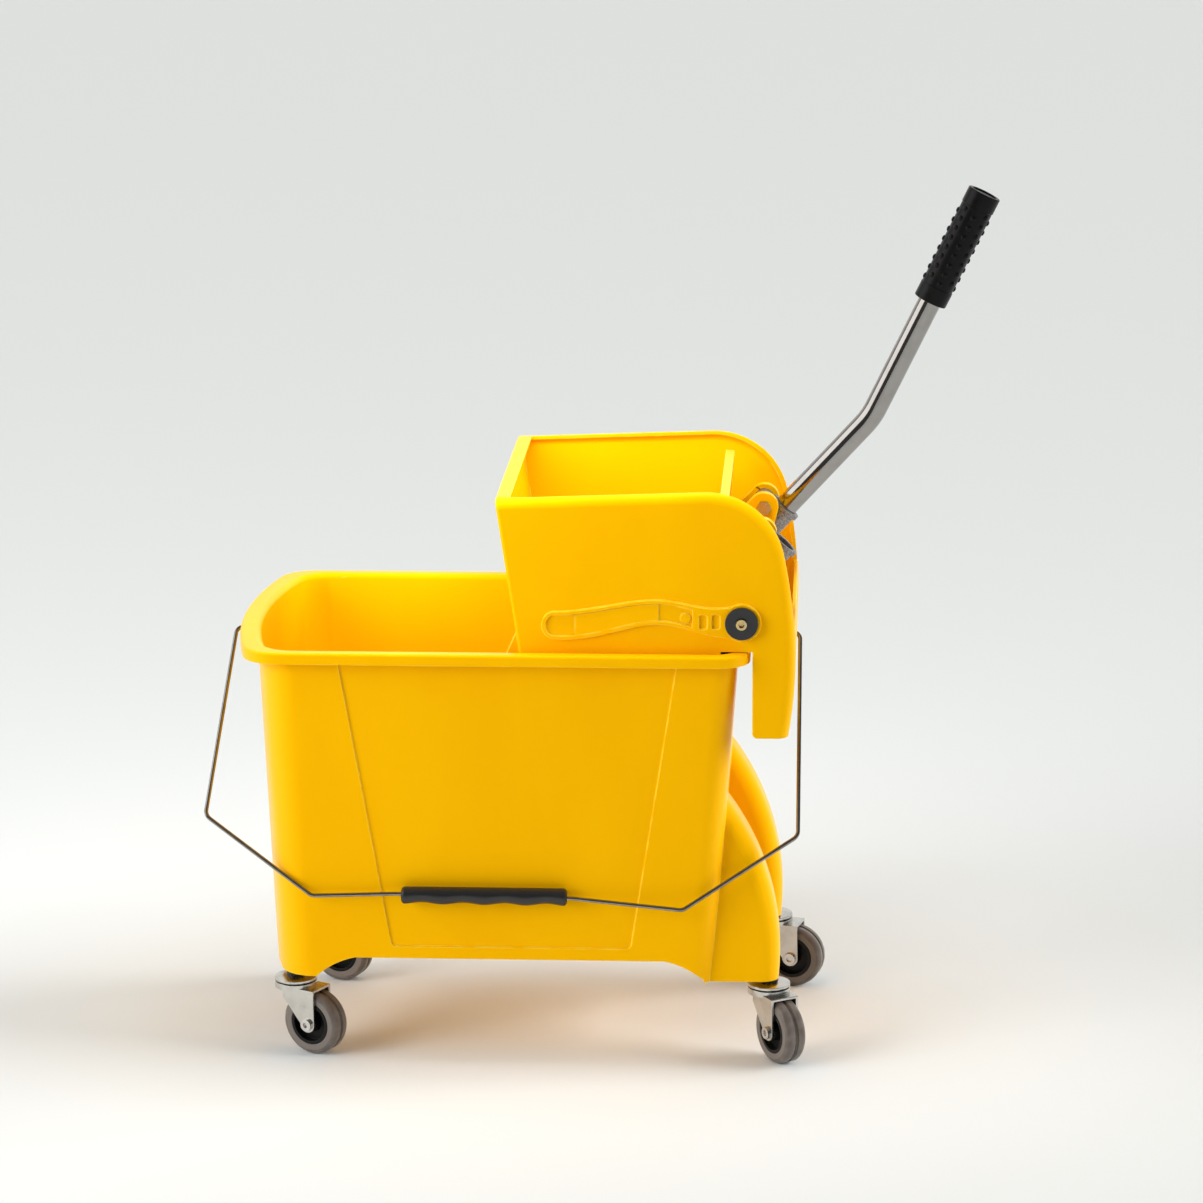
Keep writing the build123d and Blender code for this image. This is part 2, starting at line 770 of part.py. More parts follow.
with BuildPart() as wringer_housing:
    with BuildSketch(Plane.XZ) as hood_side:
        hood_start = (hood_left(shoulder_z), shoulder_z)
        hood_edge = hood_right_edge(0)
        with BuildLine():
            Polyline(hood_start, hood_left_top, hood_edge[0])
            ThreePointArc(*hood_edge)
            Polyline(
                hood_edge[-1],
                (leg_left, leg_bottom),
                (leg_left, slot_top),
                (basin_right, slot_top),
                (basin_right, shoulder_z),
                hood_start,
            )
        make_face()
        fillet(hood_side.vertices().group_by(Axis.Y)[-1], hood_corner)
        fillet(hood_side.vertices().group_by(Axis.Y)[0].sort_by(Axis.X)[0], leg_round)
    extrude(amount=hood_half, both=True)
    hood_edges = wringer_housing.edges().filter_by(lambda edge: abs(edge.center().Y) > hood_half - running)
    hood_border_edges = hood_edges.filter_by(
        lambda edge: edge.center().Z > core_top
        or edge.center().X > leg_left + leg_round
        and edge.center().Z > leg_bottom + leg_round
    )
    fillet(hood_border_edges, hood_border)
    hood_left_edges = wringer_housing.edges().filter_by(
        lambda edge: abs(edge.center().Y) > hood_half - running
        and edge.center().X < hood_left(shoulder_z)
    )
    fillet(hood_left_edges, hood_left_round)
    with BuildSketch(Plane.XZ):
        add(basin_side(0, slot_top))
    extrude(amount=basin_half, both=True)
    add(hood_core.part, mode=Mode.SUBTRACT)
    with BuildSketch(Plane.XZ):
        add(basin_side(hood_wall, seat_top))
    extrude(amount=basin_half - hood_wall, both=True, mode=Mode.SUBTRACT)
    # Open the hood's top and right side, with a flange turned in along the left wall
    opening_half = hood_half - hood_side_lip
    hood_peak = hood_top(hood_right) + hood_wall
    with BuildSketch(Plane.XZ):
        with BuildLine():
            Polyline(
                (hood_left_top[0] + hood_flange, hood_peak),
                (hood_right + hood_wall, hood_peak),
                (hood_right + hood_wall, hood_back_top),
                (core_right - hood_wall, hood_back_top),
                (core_right - hood_corner, core_top - hood_wall),
                (hood_left_top[0] + hood_flange, core_top - hood_wall),
                close=True,
            )
        make_face()
    extrude(amount=opening_half, both=True, mode=Mode.SUBTRACT)
    # Slot in the back wall that straddles the bail's pin
    with BuildSketch(Plane.YZ.offset(core_right - hood_wall)):
        with Locations((0, bail_pivot_z)):
            Circle(bail_slot / 2)
            Rectangle(bail_slot, leg_drop, align=(Align.CENTER, Align.MAX))
    extrude(amount=3 * hood_wall, mode=Mode.SUBTRACT)
    # Brackets on the left wall, hollow from below
    gusset_low = rim_top - gusset_drop
    gusset_high = gusset_low + gusset_height
    for side in (-1, 1):
        gusset_y = side * (hood_half - gusset_inset - gusset_width / 2)
        for inset, top_inset, mode in ((0, 0, Mode.ADD), (gusset_wall, gusset_top_wall, Mode.SUBTRACT)):
            with BuildSketch(Plane.XZ.offset(-gusset_y)):
                with BuildLine():
                    Polyline(
                        (hood_left(gusset_high), gusset_high - top_inset),
                        (hood_left(gusset_low) - gusset_reach + inset, gusset_low),
                        (hood_left(gusset_low), gusset_low),
                        close=True,
                    )
                make_face()
            extrude(amount=gusset_width / 2 - inset, both=True, mode=mode)
    # Arm raised on each side panel, with a boss inside for the shaft
    for side in (-1, 1):
        arm_plane = Plane(origin=(pivot[0], side * hood_half, pivot[1]), x_dir=(1, 0, 0), z_dir=(0, -1, 0))
        with BuildSketch(arm_plane):
            add(arm_outline(0))
            Circle(arm_ring)
        extrude(amount=-side * arm_height)
        for start, stop, depth in (arm_pad, *arm_pockets):
            with BuildSketch(arm_plane.offset(-side * (arm_height - depth))):
                add(arm_hollow(start, stop))
            extrude(amount=-side * depth, mode=Mode.SUBTRACT)
        with BuildSketch(arm_plane.offset(-side * (arm_height - arm_slot_depth))):
            with Locations(*arm_slots):
                RectangleRounded(*arm_slot, arm_slot_round)
        extrude(amount=-side * arm_slot_depth, mode=Mode.SUBTRACT)
        with BuildSketch(arm_plane):
            with Locations(arm_stud):
                Circle(arm_stud_diameter / 2)
        extrude(amount=-side * (arm_height - arm_pockets[-1][2] + arm_stud_height))
        with BuildSketch(arm_plane):
            Circle(pivot_boss_diameter / 2)
        extrude(amount=side * (hood_wall + pivot_boss_length))
    with Locations(pivot_axis):
        Cylinder(shaft_diameter / 2 + fixed, 2 * arm_face, mode=Mode.SUBTRACT)
    # Drain slots in the basin's floor
    basin_left = hood_left(basin_bottom)
    drain_pitch = (
        (basin_right - basin_left - 2 * drain_margin[0]) / (drain_grid[0] - 1),
        2 * (basin_half - drain_margin[1]) / (drain_grid[1] - 1),
    )
    with BuildSketch(Plane.XY.offset(basin_bottom)):
        with Locations(((basin_left + basin_right) / 2, 0)):
            with GridLocations(*drain_pitch, *drain_grid):
                SlotOverall(*drain_slot)
    extrude(amount=hood_wall, mode=Mode.SUBTRACT)
save(wringer_housing, "wringer_housing")

# Pivot shaft and what is on it
plate_half = basin_half - hood_wall - plate_side_gap
socket_diameter = handle_diameter + 2 * (slip + socket_wall)
socket_lip_diameter = socket_diameter + 2 * socket_lip_wall
socket_boss_width = socket_lip_diameter + 2 * socket_boss_margin
boss_face = hood_half - hood_wall - pivot_boss_length
socket_y = plate_half - socket_side_margin
lug_inner = socket_boss_width / 2 + side_gap
lug_outer = lug_inner + lever_arm
lever_face = socket_y + lug_outer
lug_near = socket_y - lug_outer

screw_hole = screw_length - washer_thickness + screw_tip_gap
with BuildPart() as pivot_shaft:
    with Locations(pivot_axis):
        Cylinder(shaft_diameter / 2, 2 * arm_face)
    for side in (-1, 1):
        with BuildSketch(Plane.XZ.offset(side * arm_face)):
            with Locations(pivot):
                Circle(screw_diameter / 2 + fixed)
        extrude(amount=-side * screw_hole, mode=Mode.SUBTRACT)
save(pivot_shaft, "pivot_shaft")

with BuildPart() as pivot_washers:
    for side in (-1, 1):
        with BuildSketch(Plane.XZ.offset(side * arm_face)):
            with Locations(pivot):
                Circle(washer_diameter / 2)
                Circle(screw_diameter / 2 + slip, mode=Mode.SUBTRACT)
        extrude(amount=side * washer_thickness)
save(pivot_washers, "pivot_washers")

with BuildPart() as pivot_screws:
    for side in (-1, 1):
        head_plane = Plane.XZ.offset(side * (arm_face + washer_thickness))
        with BuildSketch(head_plane):
            with Locations(pivot):
                Circle(screw_head / 2)
        extrude(amount=side * screw_head_height)
        with BuildSketch(head_plane):
            with Locations(pivot):
                Circle(screw_diameter / 2)
        extrude(amount=-side * screw_length)
        with BuildSketch(head_plane.offset(side * screw_head_height)):
            with Locations(pivot):
                RegularPolygon(screw_hex / 2, 6, major_radius=False)
        extrude(amount=-side * screw_hex_depth, mode=Mode.SUBTRACT)
save(pivot_screws, "pivot_screws")

with BuildPart() as pivot_spacers:
    for side in (-1, 1):
        with BuildSketch(Plane.XZ.offset(side * (lever_face + side_gap))):
            with Locations(pivot):
                Circle(spacer_diameter / 2)
                Circle(shaft_diameter / 2 + running, mode=Mode.SUBTRACT)
        extrude(amount=side * (boss_face - lever_face - 2 * side_gap))
save(pivot_spacers, "pivot_spacers")

# Press plate: a leaning, flanged plate with four arms on its back
plate_height = (plate_rise + plate_drop) / cos(radians(plate_lean))
plate_plane = Plane(
    origin=(pivot[0] - plate_offset, 0, pivot[1]),
    x_dir=(0, 1, 0),
    z_dir=(cos(radians(plate_lean)), 0, -sin(radians(plate_lean))),
)
lug = (pivot[0] + lug_offset[0], pivot[1] + lug_offset[1])
lug_axis = Location((lug[0], 0, lug[1]), (90, 0, 0))


def plate_back(rise: float) -> float:
    """Back face of the press plate at a height above the pivot."""
    return pivot[0] - plate_offset + rise * tan(radians(plate_lean)) + plate_thickness


with BuildPart() as press_plate:
    plate_middle = Location((0, (plate_rise - plate_drop) / 2 / cos(radians(plate_lean))))
    with BuildSketch(plate_plane):
        with Locations(plate_middle):
            RectangleRounded(2 * plate_half, plate_height, plate_corner)
    extrude(amount=plate_thickness + plate_flange)
    with BuildSketch(plate_plane.offset(plate_thickness)):
        with Locations(plate_middle):
            RectangleRounded(
                2 * (plate_half - plate_flange_wall),
                plate_height - 2 * plate_flange_wall,
                plate_corner - plate_flange_wall,
            )
    extrude(amount=plate_flange, mode=Mode.SUBTRACT)
    for socket_side in (-1, 1):
        for arm_side in (-1, 1):
            arm_middle = socket_side * socket_y + arm_side * (lug_inner + lug_outer) / 2
            with BuildSketch(Plane.XZ.offset(-arm_middle)):
                with BuildLine():
                    Line(
                        (plate_back(-lever_arm_drop) - lever_arm_root, pivot[1] - lever_arm_drop),
                        (plate_back(lever_arm_rise) - lever_arm_root, pivot[1] + lever_arm_rise),
                    )
                with Locations(pivot):
                    Circle(lever_hub / 2)
                with Locations(lug):
                    Circle(lug_radius)
                make_hull()
            extrude(amount=lever_arm / 2, both=True)
    with Locations(pivot_axis):
        Cylinder(shaft_diameter / 2 + running, 2 * lever_face, mode=Mode.SUBTRACT)
    with Locations(lug_axis):
        Cylinder(bolt_diameter / 2 + slip, 2 * lever_face, mode=Mode.SUBTRACT)
    plate_hole_spread = 2 * (plate_half - plate_hole_margin) / (plate_hole_grid[0] - 1)
    with BuildSketch(plate_plane):
        with Locations((0, -plate_hole_drop)):
            with GridLocations(plate_hole_spread, plate_hole_pitch, *plate_hole_grid):
                Circle(plate_hole / 2)
    extrude(amount=plate_thickness, mode=Mode.SUBTRACT)
save(press_plate, "press_plate")

# Torsion springs: one leg bears on the edge of the housing's seat, the other pushes the plate
spring_radius = (shaft_diameter + spring_wire) / 2 + spring_clearance
spring_foot = Vector(leg_left - hood_wall + spring_wire / 2 + seat_gap - pivot[0], slot_top - pivot[1])
spring_angle = atan2(spring_foot.Y, spring_foot.X) + acos(spring_radius / spring_foot.length)
spring_leg_turn = (90 - degrees(spring_angle)) / 360
spring_turns = int((lug_near - spring_arm_gap - spring_start) / spring_pitch) + spring_leg_turn
spring_length = spring_turns * spring_pitch
lower_leg = sqrt(spring_foot.length**2 - spring_radius**2)
upper_leg = pivot[0] - plate_back(spring_radius) - spring_wire / 2 - seat_gap
with BuildPart() as spring:
    with BuildLine() as spring_path:
        coil = Helix(spring_pitch, spring_length, spring_radius)
        Line(coil @ 0 - (coil % 0) * lower_leg, coil @ 0)
        Line(coil @ 1, coil @ 1 + (coil % 1) * upper_leg)
    with BuildSketch(Plane(origin=spring_path.line @ 0, z_dir=spring_path.line % 0)):
        Circle(spring_wire / 2)
    sweep()

with BuildPart() as return_springs:
    for start in (-spring_start, spring_start + spring_length):
        spring_x = (cos(spring_angle), 0, sin(spring_angle))
        with Locations(Plane(origin=(pivot[0], start, pivot[1]), x_dir=spring_x, z_dir=(0, -1, 0))):
            add(spring.part)
save(return_springs, "return_springs")

# Handle sockets between the arms, each held by one bolt
socket_direction = Vector(cos(radians(socket_angle)), sin(radians(socket_angle)))
socket_mouth = Vector(pivot[0] + socket_offset[0], pivot[1] + socket_offset[1])
for place, side in (("near", -1), ("far", 1)):
    mouth_plane = Plane(
        origin=(socket_mouth.X, side * socket_y, socket_mouth.Y),
        x_dir=(0, 1, 0),
        z_dir=(socket_direction.X, 0, socket_direction.Y),
    )
    with BuildPart() as handle_socket:
        with BuildSketch(Plane.XZ.offset(-side * socket_y)):
            heel_x = plate_back(socket_heel_rise + socket_heel / 2) + side_gap
            heel_z = pivot[1] + socket_heel_rise
            with BuildLine():
                Line((heel_x, heel_z - socket_heel / 2), (heel_x, heel_z + socket_heel / 2))
                Line(
                    socket_mouth - socket_direction * socket_web_span[0],
                    socket_mouth - socket_direction * socket_web_span[1],
                )
            with Locations(lug):
                Circle(socket_boss / 2)
            make_hull()
        extrude(amount=socket_web / 2, both=True)
        with BuildSketch(Plane.XZ.offset(-side * socket_y)):
            with Locations(lug):
                Circle(socket_boss / 2)
        extrude(amount=socket_boss_width / 2, both=True)
        with BuildSketch(mouth_plane):
            Circle(socket_lip_diameter / 2)
        extrude(amount=-socket_lip)
        with BuildSketch(mouth_plane):
            Circle(socket_diameter / 2)
        extrude(amount=-socket_length)
        with BuildSketch(mouth_plane):
            Circle(handle_diameter / 2 + slip)
        extrude(amount=socket_floor - socket_length, mode=Mode.SUBTRACT)
        with BuildSketch(mouth_plane):
            Rectangle(socket_slit, socket_lip_diameter, align=(Align.CENTER, Align.MIN))
        extrude(amount=-socket_slit_depth, mode=Mode.SUBTRACT)
        with Locations(lug_axis):
            Cylinder(bolt_diameter / 2 + slip, 2 * lever_face, mode=Mode.SUBTRACT)
    save(handle_socket, f"handle_socket_{place}")

with BuildPart() as socket_bolts:
    for side in (-1, 1):
        with BuildSketch(Plane.XZ.offset(side * lug_near)):
            with Locations(lug):
                RegularPolygon(bolt_head / 2, 6, major_radius=False)
        extrude(amount=-side * bolt_head_height)
        with BuildSketch(Plane.XZ.offset(side * lug_near)):
            with Locations(lug):
                Circle(bolt_diameter / 2)
        extrude(amount=side * (2 * lug_outer + nut_height + bolt_tail))
save(socket_bolts, "socket_bolts")

with BuildPart() as socket_nuts:
    for side in (-1, 1):
        with BuildSketch(Plane.XZ.offset(side * lever_face)):
            with Locations(lug):
                RegularPolygon(bolt_head / 2, 6, major_radius=False)
                Circle(bolt_diameter / 2 + fixed, mode=Mode.SUBTRACT)
        extrude(amount=side * nut_height)
save(socket_nuts, "socket_nuts")

# Handle, fitted in the far socket
upper_direction = Vector(cos(radians(handle_upper_angle)), sin(radians(handle_upper_angle)))
handle_foot = socket_mouth - socket_direction * (socket_length - socket_floor)
handle_bend = socket_mouth + socket_direction * handle_lower
handle_top = handle_bend + upper_direction * handle_upper
with BuildPart() as handle_tube:
    with BuildLine() as handle_path:
        handle_corners = (handle_foot, handle_bend, handle_top)
        handle_points = [Vector(corner.X, socket_y, corner.Y) for corner in handle_corners]
        FilletPolyline(*handle_points, radius=handle_bend_radius)
    with BuildSketch(Plane(origin=handle_path.line @ 0, z_dir=handle_path.line % 0)):
        Circle(handle_diameter / 2)
        Circle(handle_diameter / 2 - handle_wall, mode=Mode.SUBTRACT)
    sweep()
save(handle_tube, "handle_tube")

grip_plane = Plane(
    origin=(handle_top.X, socket_y, handle_top.Y),
    x_dir=(0, 1, 0),
    z_dir=(upper_direction.X, 0, upper_direction.Y),
)
grip_diameter = handle_diameter + 2 * grip_wall
with BuildPart() as handle_grip:
    with BuildSketch(grip_plane.offset(grip_end)):
        Circle(grip_diameter / 2)
    extrude(amount=-grip_length)
    fillet(handle_grip.edges().filter_by(GeomType.CIRCLE), grip_round)
    with BuildSketch(grip_plane):
        Circle(handle_diameter / 2 + fixed)
    extrude(amount=grip_end - grip_length, mode=Mode.SUBTRACT)
save(handle_grip, "handle_grip")

# Bail, resting with its grip against the front of the tub
bail_left = rim_left - bail_left_gap
bail_right = hood_right + bail_right_gap
grip_middle = relief_middle + bail_grip_offset
grip_start = Vector(grip_middle - bail_grip_run / 2, bail_grip_reach[0])
grip_stop = Vector(grip_middle + bail_grip_run / 2, bail_grip_reach[1])
bail_reach = min(grip_start.Y, grip_stop.Y)
bail_wall = half_width(bail_pivot_z) * cos(draft_angle) - relief_depth
bail_stand_off = bail_wall + bail_grip_diameter / 2 + bail_grip_wave + bail_rest_gap
bail_angle = asin(bail_stand_off / bail_reach) - draft_angle
bail_plane = Plane(
    origin=(0, 0, bail_pivot_z),
    x_dir=(1, 0, 0),
    z_dir=(0, cos(bail_angle), -sin(bail_angle)),
)
bail_corners = [
    Vector(bail_left_face + bail_pin_depth, 0),
    Vector(bail_left, 0),
    Vector(bail_left - bail_left_flare, bail_left_arm),
    Vector(bail_left + bail_left_knee[0], bail_left_knee[1]),
    grip_start,
    grip_stop,
    Vector(bail_right - bail_right_knee[0], bail_right_knee[1]),
    Vector(bail_right, bail_right_arm),
    Vector(bail_right, 0),
    Vector(bail_right_face - bail_pin_depth, 0),
]
left_bends = [bail_end_bend, bail_arm_bend, bail_arm_bend, bail_crook_bend]
with BuildPart() as bail_wire:
    with BuildLine() as bail_path:
        bail_points = [bail_plane.from_local_coords(corner) for corner in bail_corners]
        FilletPolyline(*bail_points, radius=left_bends + left_bends[::-1])
    with BuildSketch(Plane(origin=bail_path.line @ 0, z_dir=bail_path.line % 0)):
        Circle(bail_wire_diameter / 2)
    sweep()
save(bail_wire, "bail_wire")

grip_run = grip_stop - grip_start
grip_body = grip_run.length - 2 * bail_grip_margin
grip_base = grip_start + grip_run.normalized() * bail_grip_margin
grip_origin = bail_plane.from_local_coords(grip_base)
grip_direction = bail_plane.x_dir * grip_run.normalized().X + bail_plane.y_dir * grip_run.normalized().Y
with BuildPart() as bail_grip:
    with BuildSketch(Plane(origin=grip_origin, x_dir=grip_direction, z_dir=bail_plane.z_dir)):
        wave_points = [
            (
                grip_body * step / (2 * bail_grip_waves),
                bail_grip_diameter / 2 + (bail_grip_wave if step % 2 else -bail_grip_wave),
            )
            for step in range(2 * bail_grip_waves + 1)
        ]
        with BuildLine():
            grip_bore = bail_wire_diameter / 2 + fixed
            waves = Spline(*wave_points, tangents=[(1, 0), (1, 0)])
            Polyline(waves @ 0, (0, grip_bore), (grip_body, grip_bore), waves @ 1)
        make_face()
    revolve(axis=Axis(grip_origin, grip_direction))
save(bail_grip, "bail_grip")
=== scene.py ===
"""Looks of a mop bucket with a lever wringer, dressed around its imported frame.

Lengths are in metres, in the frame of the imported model: +X points to the wringer and its handle,
+Y to the back long side and +Z up, and the floor is at Z = 0.
"""

from __future__ import annotations

import json
import logging
import math
from dataclasses import dataclass
from enum import Enum
from functools import cache
from typing import Any, Mapping, Sequence

import bmesh
import bpy
from mathutils import Matrix, Vector

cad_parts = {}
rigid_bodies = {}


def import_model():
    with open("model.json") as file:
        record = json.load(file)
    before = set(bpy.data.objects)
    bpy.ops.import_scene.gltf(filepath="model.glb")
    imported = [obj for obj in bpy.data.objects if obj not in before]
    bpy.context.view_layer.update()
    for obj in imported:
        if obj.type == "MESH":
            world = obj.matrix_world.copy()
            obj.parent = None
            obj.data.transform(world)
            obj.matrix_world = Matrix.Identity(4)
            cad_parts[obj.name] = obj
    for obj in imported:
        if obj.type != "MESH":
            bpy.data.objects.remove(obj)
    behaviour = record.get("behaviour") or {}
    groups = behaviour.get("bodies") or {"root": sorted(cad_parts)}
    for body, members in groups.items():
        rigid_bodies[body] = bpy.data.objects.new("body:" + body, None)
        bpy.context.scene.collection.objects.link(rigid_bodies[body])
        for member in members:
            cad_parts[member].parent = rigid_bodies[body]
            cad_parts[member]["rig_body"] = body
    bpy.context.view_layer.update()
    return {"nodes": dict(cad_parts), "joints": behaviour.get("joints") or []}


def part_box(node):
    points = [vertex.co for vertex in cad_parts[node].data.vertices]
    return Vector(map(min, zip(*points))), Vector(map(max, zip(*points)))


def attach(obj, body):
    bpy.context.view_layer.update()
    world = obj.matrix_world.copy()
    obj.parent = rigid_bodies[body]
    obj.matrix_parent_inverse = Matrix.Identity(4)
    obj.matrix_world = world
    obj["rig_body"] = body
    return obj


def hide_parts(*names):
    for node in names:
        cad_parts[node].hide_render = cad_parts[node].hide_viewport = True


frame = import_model()

LOG = logging.getLogger("mop_bucket")
MERGE_DISTANCE = 2e-6
FLAT_ANGLE = math.radians(0.2)
SOFTENED_ANGLE = math.radians(32.0)
SHARP_ANGLE = math.radians(40.0)
CORNER_ANGLE = math.radians(60.0)
FULL_TURN = 2 * math.pi
NOISE_MEAN = 0.5
MIX_FACTOR, MIX_FIRST, MIX_SECOND, MIX_RESULT = 0, 6, 7, 2
EDGE_LAYER = "edge"
TREAD_LAYER = "tread"

Colour = tuple[float, float, float]
Triple = tuple[float, float, float]
Span = tuple[float, float]


@dataclass(frozen=True)
class Value:
    """A number socket whose arithmetic adds Math nodes to its graph."""

    graph: Graph
    socket: bpy.types.NodeSocket

    def math(self, operation: str, *operands: Value | float) -> Value:
        """Add one Math node.

        Args:
            operation: The Math node's operation.
            *operands: The values of its sockets, in order.

        Returns:
            The node's result.
        """
        sockets = dict(enumerate(operands))
        node = self.graph.node("ShaderNodeMath", {"operation": operation}, sockets)
        return Value(self.graph, node.outputs[0])

    def __add__(self, other: Value | float) -> Value:
        """Sum of two values."""
        return self.math("ADD", self, other)

    def __radd__(self, other: float) -> Value:
        """Sum of a number and this value."""
        return self.math("ADD", other, self)

    def __sub__(self, other: Value | float) -> Value:
        """Difference of two values."""
        return self.math("SUBTRACT", self, other)

    def __rsub__(self, other: float) -> Value:
        """Difference of a number and this value."""
        return self.math("SUBTRACT", other, self)

    def __mul__(self, other: Value | float) -> Value:
        """Product of two values."""
        return self.math("MULTIPLY", self, other)

    def __rmul__(self, other: float) -> Value:
        """Product of a number and this value."""
        return self.math("MULTIPLY", other, self)

    def between(self, low: float, high: float) -> Value:
        """Smooth step of the value.

        Args:
            low: The value that gives 0.
            high: The value that gives 1.

        Returns:
            A value from 0 to 1.
        """
        node = self.graph.node(
            "ShaderNodeMapRange",
            {"interpolation_type": "SMOOTHSTEP"},
            {"Value": self, "From Min": low, "From Max": high},
        )
        return Value(self.graph, node.outputs[0])


class Graph:
    """The node tree of one material or world, and the one way to add nodes to it."""

    def __init__(self, tree: bpy.types.NodeTree) -> None:
        """Take over a tree and clear it."""
        self.tree = tree
        tree.nodes.clear()

    def node(
        self,
        kind: str,
        settings: Mapping[str, Any] | None = None,
        sockets: Mapping[str | int, Any] | None = None,
    ) -> bpy.types.Node:
        """Add a node, set its settings and then its sockets.

        Args:
            kind: The node's type.
            settings: The node's properties.
            sockets: Values or links of its inputs, by name or number.

        Returns:
            The new node.
        """
        node = self.tree.nodes.new(kind)
        for name, value in (settings or {}).items():
            setattr(node, name, value)
        for key, value in (sockets or {}).items():
            source = value.socket if isinstance(value, Value) else value
            if isinstance(source, bpy.types.NodeSocket):
                self.tree.links.new(source, node.inputs[key])
            else:
                node.inputs[key].default_value = source
        return node

    def place(
        self, stretch: Sequence[float] = (1, 1, 1), turn: Sequence[float] = (0, 0, 0)
    ) -> bpy.types.NodeSocket:
        """Object coordinates, turned and then stretched.

        Args:
            stretch: Scale of the pattern's space along each axis.
            turn: Turn of the pattern's space, in radians.

        Returns:
            The vector socket.
        """
        source = self.node("ShaderNodeTexCoord").outputs["Object"]
        turned = self.node("ShaderNodeMapping", None, {"Vector": source, "Rotation": turn})
        sockets = {"Vector": turned.outputs[0], "Scale": stretch}
        return self.node("ShaderNodeMapping", None, sockets).outputs[0]

    def noise(self, vector: bpy.types.NodeSocket, scale: float, detail: float) -> Value:
        """Noise of a given fineness.

        Args:
            vector: Where the pattern is read.
            scale: Waves to a metre.
            detail: Number of finer layers.

        Returns:
            The noise, from 0 to 1.
        """
        sockets = {"Vector": vector, "Scale": scale, "Detail": detail}
        return Value(self, self.node("ShaderNodeTexNoise", None, sockets).outputs[0])

    def attribute(self, name: str) -> Value:
        """A number that the piece carries on its surface."""
        return Value(self, self.node("ShaderNodeAttribute", {"attribute_name": name}).outputs["Fac"])

    def mix(self, factor: Value, first: Any, second: Any) -> bpy.types.NodeSocket:
        """Blend of two colours.

        Args:
            factor: Share of the second colour.
            first: Colour, or socket, at 0.
            second: Colour, or socket, at 1.

        Returns:
            The colour socket.
        """
        ends = [(*end, 1.0) if isinstance(end, tuple) else end for end in (first, second)]
        sockets = {MIX_FACTOR: factor, MIX_FIRST: ends[0], MIX_SECOND: ends[1]}
        return self.node("ShaderNodeMix", {"data_type": "RGBA"}, sockets).outputs[MIX_RESULT]

    def bump(self, height: Value, depth: float) -> bpy.types.NodeSocket:
        """Normal of a surface with small relief.

        Args:
            height: Relief from 0 to 1.
            depth: Height of the relief.

        Returns:
            The normal socket.
        """
        return self.node("ShaderNodeBump", None, {"Height": height, "Distance": depth}).outputs[0]


@dataclass(frozen=True)
class Finish:
    """A procedural surface, and the material slot of the record that it belongs to."""

    slot: str
    colour: Colour
    roughness: float

    @cache
    def material(self) -> bpy.types.Material:
        """Make the finish's material, once.

        Returns:
            The material.
        """
        material = bpy.data.materials.new("finish_" + self.slot)
        material.use_nodes = True
        graph = Graph(material.node_tree)
        shader = graph.node("ShaderNodeBsdfPrincipled", None, self.sockets(graph))
        graph.node("ShaderNodeOutputMaterial", None, {"Surface": shader.outputs[0]})
        return material

    def sockets(self, graph: Graph) -> dict[str, Any]:
        """Sockets of the shader: each kind of finish gives its own."""
        raise NotImplementedError


@dataclass(frozen=True)
class MouldedPlastic(Finish):
    """Moulded plastic with a fine grain, faint flow marks, scuffs, and lighter softened edges that
    are partly edge wear and partly a painted highlight.
    """

    flow_colour: Colour = (0.0, 0.0, 0.0)
    # Lighter colour on the softened edges: partly edge wear, partly a painted highlight of the
    # rounded edges.
    edge_wear_and_highlight_colour: Colour = (1.0, 1.0, 1.0)
    edge_wear_and_highlight_share: float = 0.4
    grain_depth: float = 0.00003
    grain_scale: float = 1300.0
    flow_scale: float = 16.0
    flow_stretch: Triple = (1, 1, 0.3)
    flow_band: Span = (0.35, 0.75)
    flow_rise: float = 4.0
    blotch_scale: float = 75.0
    blotch_gloss: float = 0.12
    scuff_scale: float = 26.0
    scuff_stretch: Triple = (40, 1, 6)
    scuff_turn: Triple = (0.4, 0.3, 0.7)
    scuff_band: Span = (0.66, 0.74)
    scuff_sink: float = 0.5
    scuff_gloss: float = 0.06
    edge_wear_and_highlight_band: Span = (0.3, 0.6)
    rubbed_gloss: float = 0.1
    specular: float = 0.5
    specular_tint: Colour = (1.0, 1.0, 1.0)

    def sockets(self, graph: Graph) -> dict[str, Any]:
        """Colour drift, lighter edges (partly edge wear, partly a painted highlight), scuffs and
        grain.

        Args:
            graph: The material's graph.

        Returns:
            Values and links of the shader's sockets.
        """
        place = graph.place()
        flow = graph.noise(graph.place(self.flow_stretch), self.flow_scale, detail=3.0)
        blotch = graph.noise(place, self.blotch_scale, detail=4.0)
        grain = graph.noise(place, self.grain_scale, detail=1.0)
        scratched = graph.place(self.scuff_stretch, self.scuff_turn)
        scuff = graph.noise(scratched, self.scuff_scale, detail=2.0).between(*self.scuff_band)
        # Mask of the softened edges, broken by blotches: it carries their lighter colour, partly
        # wear and partly a painted highlight.
        worn = graph.attribute(EDGE_LAYER) * blotch.between(*self.edge_wear_and_highlight_band)
        edge_wear_and_highlight = worn * self.edge_wear_and_highlight_share
        drifted = graph.mix(flow.between(*self.flow_band), self.colour, self.flow_colour)
        height = grain + flow * self.flow_rise - scuff * self.scuff_sink
        uneven = self.roughness + (blotch - NOISE_MEAN) * self.blotch_gloss
        dulled = uneven + scuff * self.scuff_gloss
        return {
            "Base Color": graph.mix(edge_wear_and_highlight, drifted, self.edge_wear_and_highlight_colour),
            "Roughness": dulled - edge_wear_and_highlight * self.rubbed_gloss,
            "Specular IOR Level": self.specular,
            "Specular Tint": (*self.specular_tint, 1.0),
            "Normal": graph.bump(height, self.grain_depth),
        }


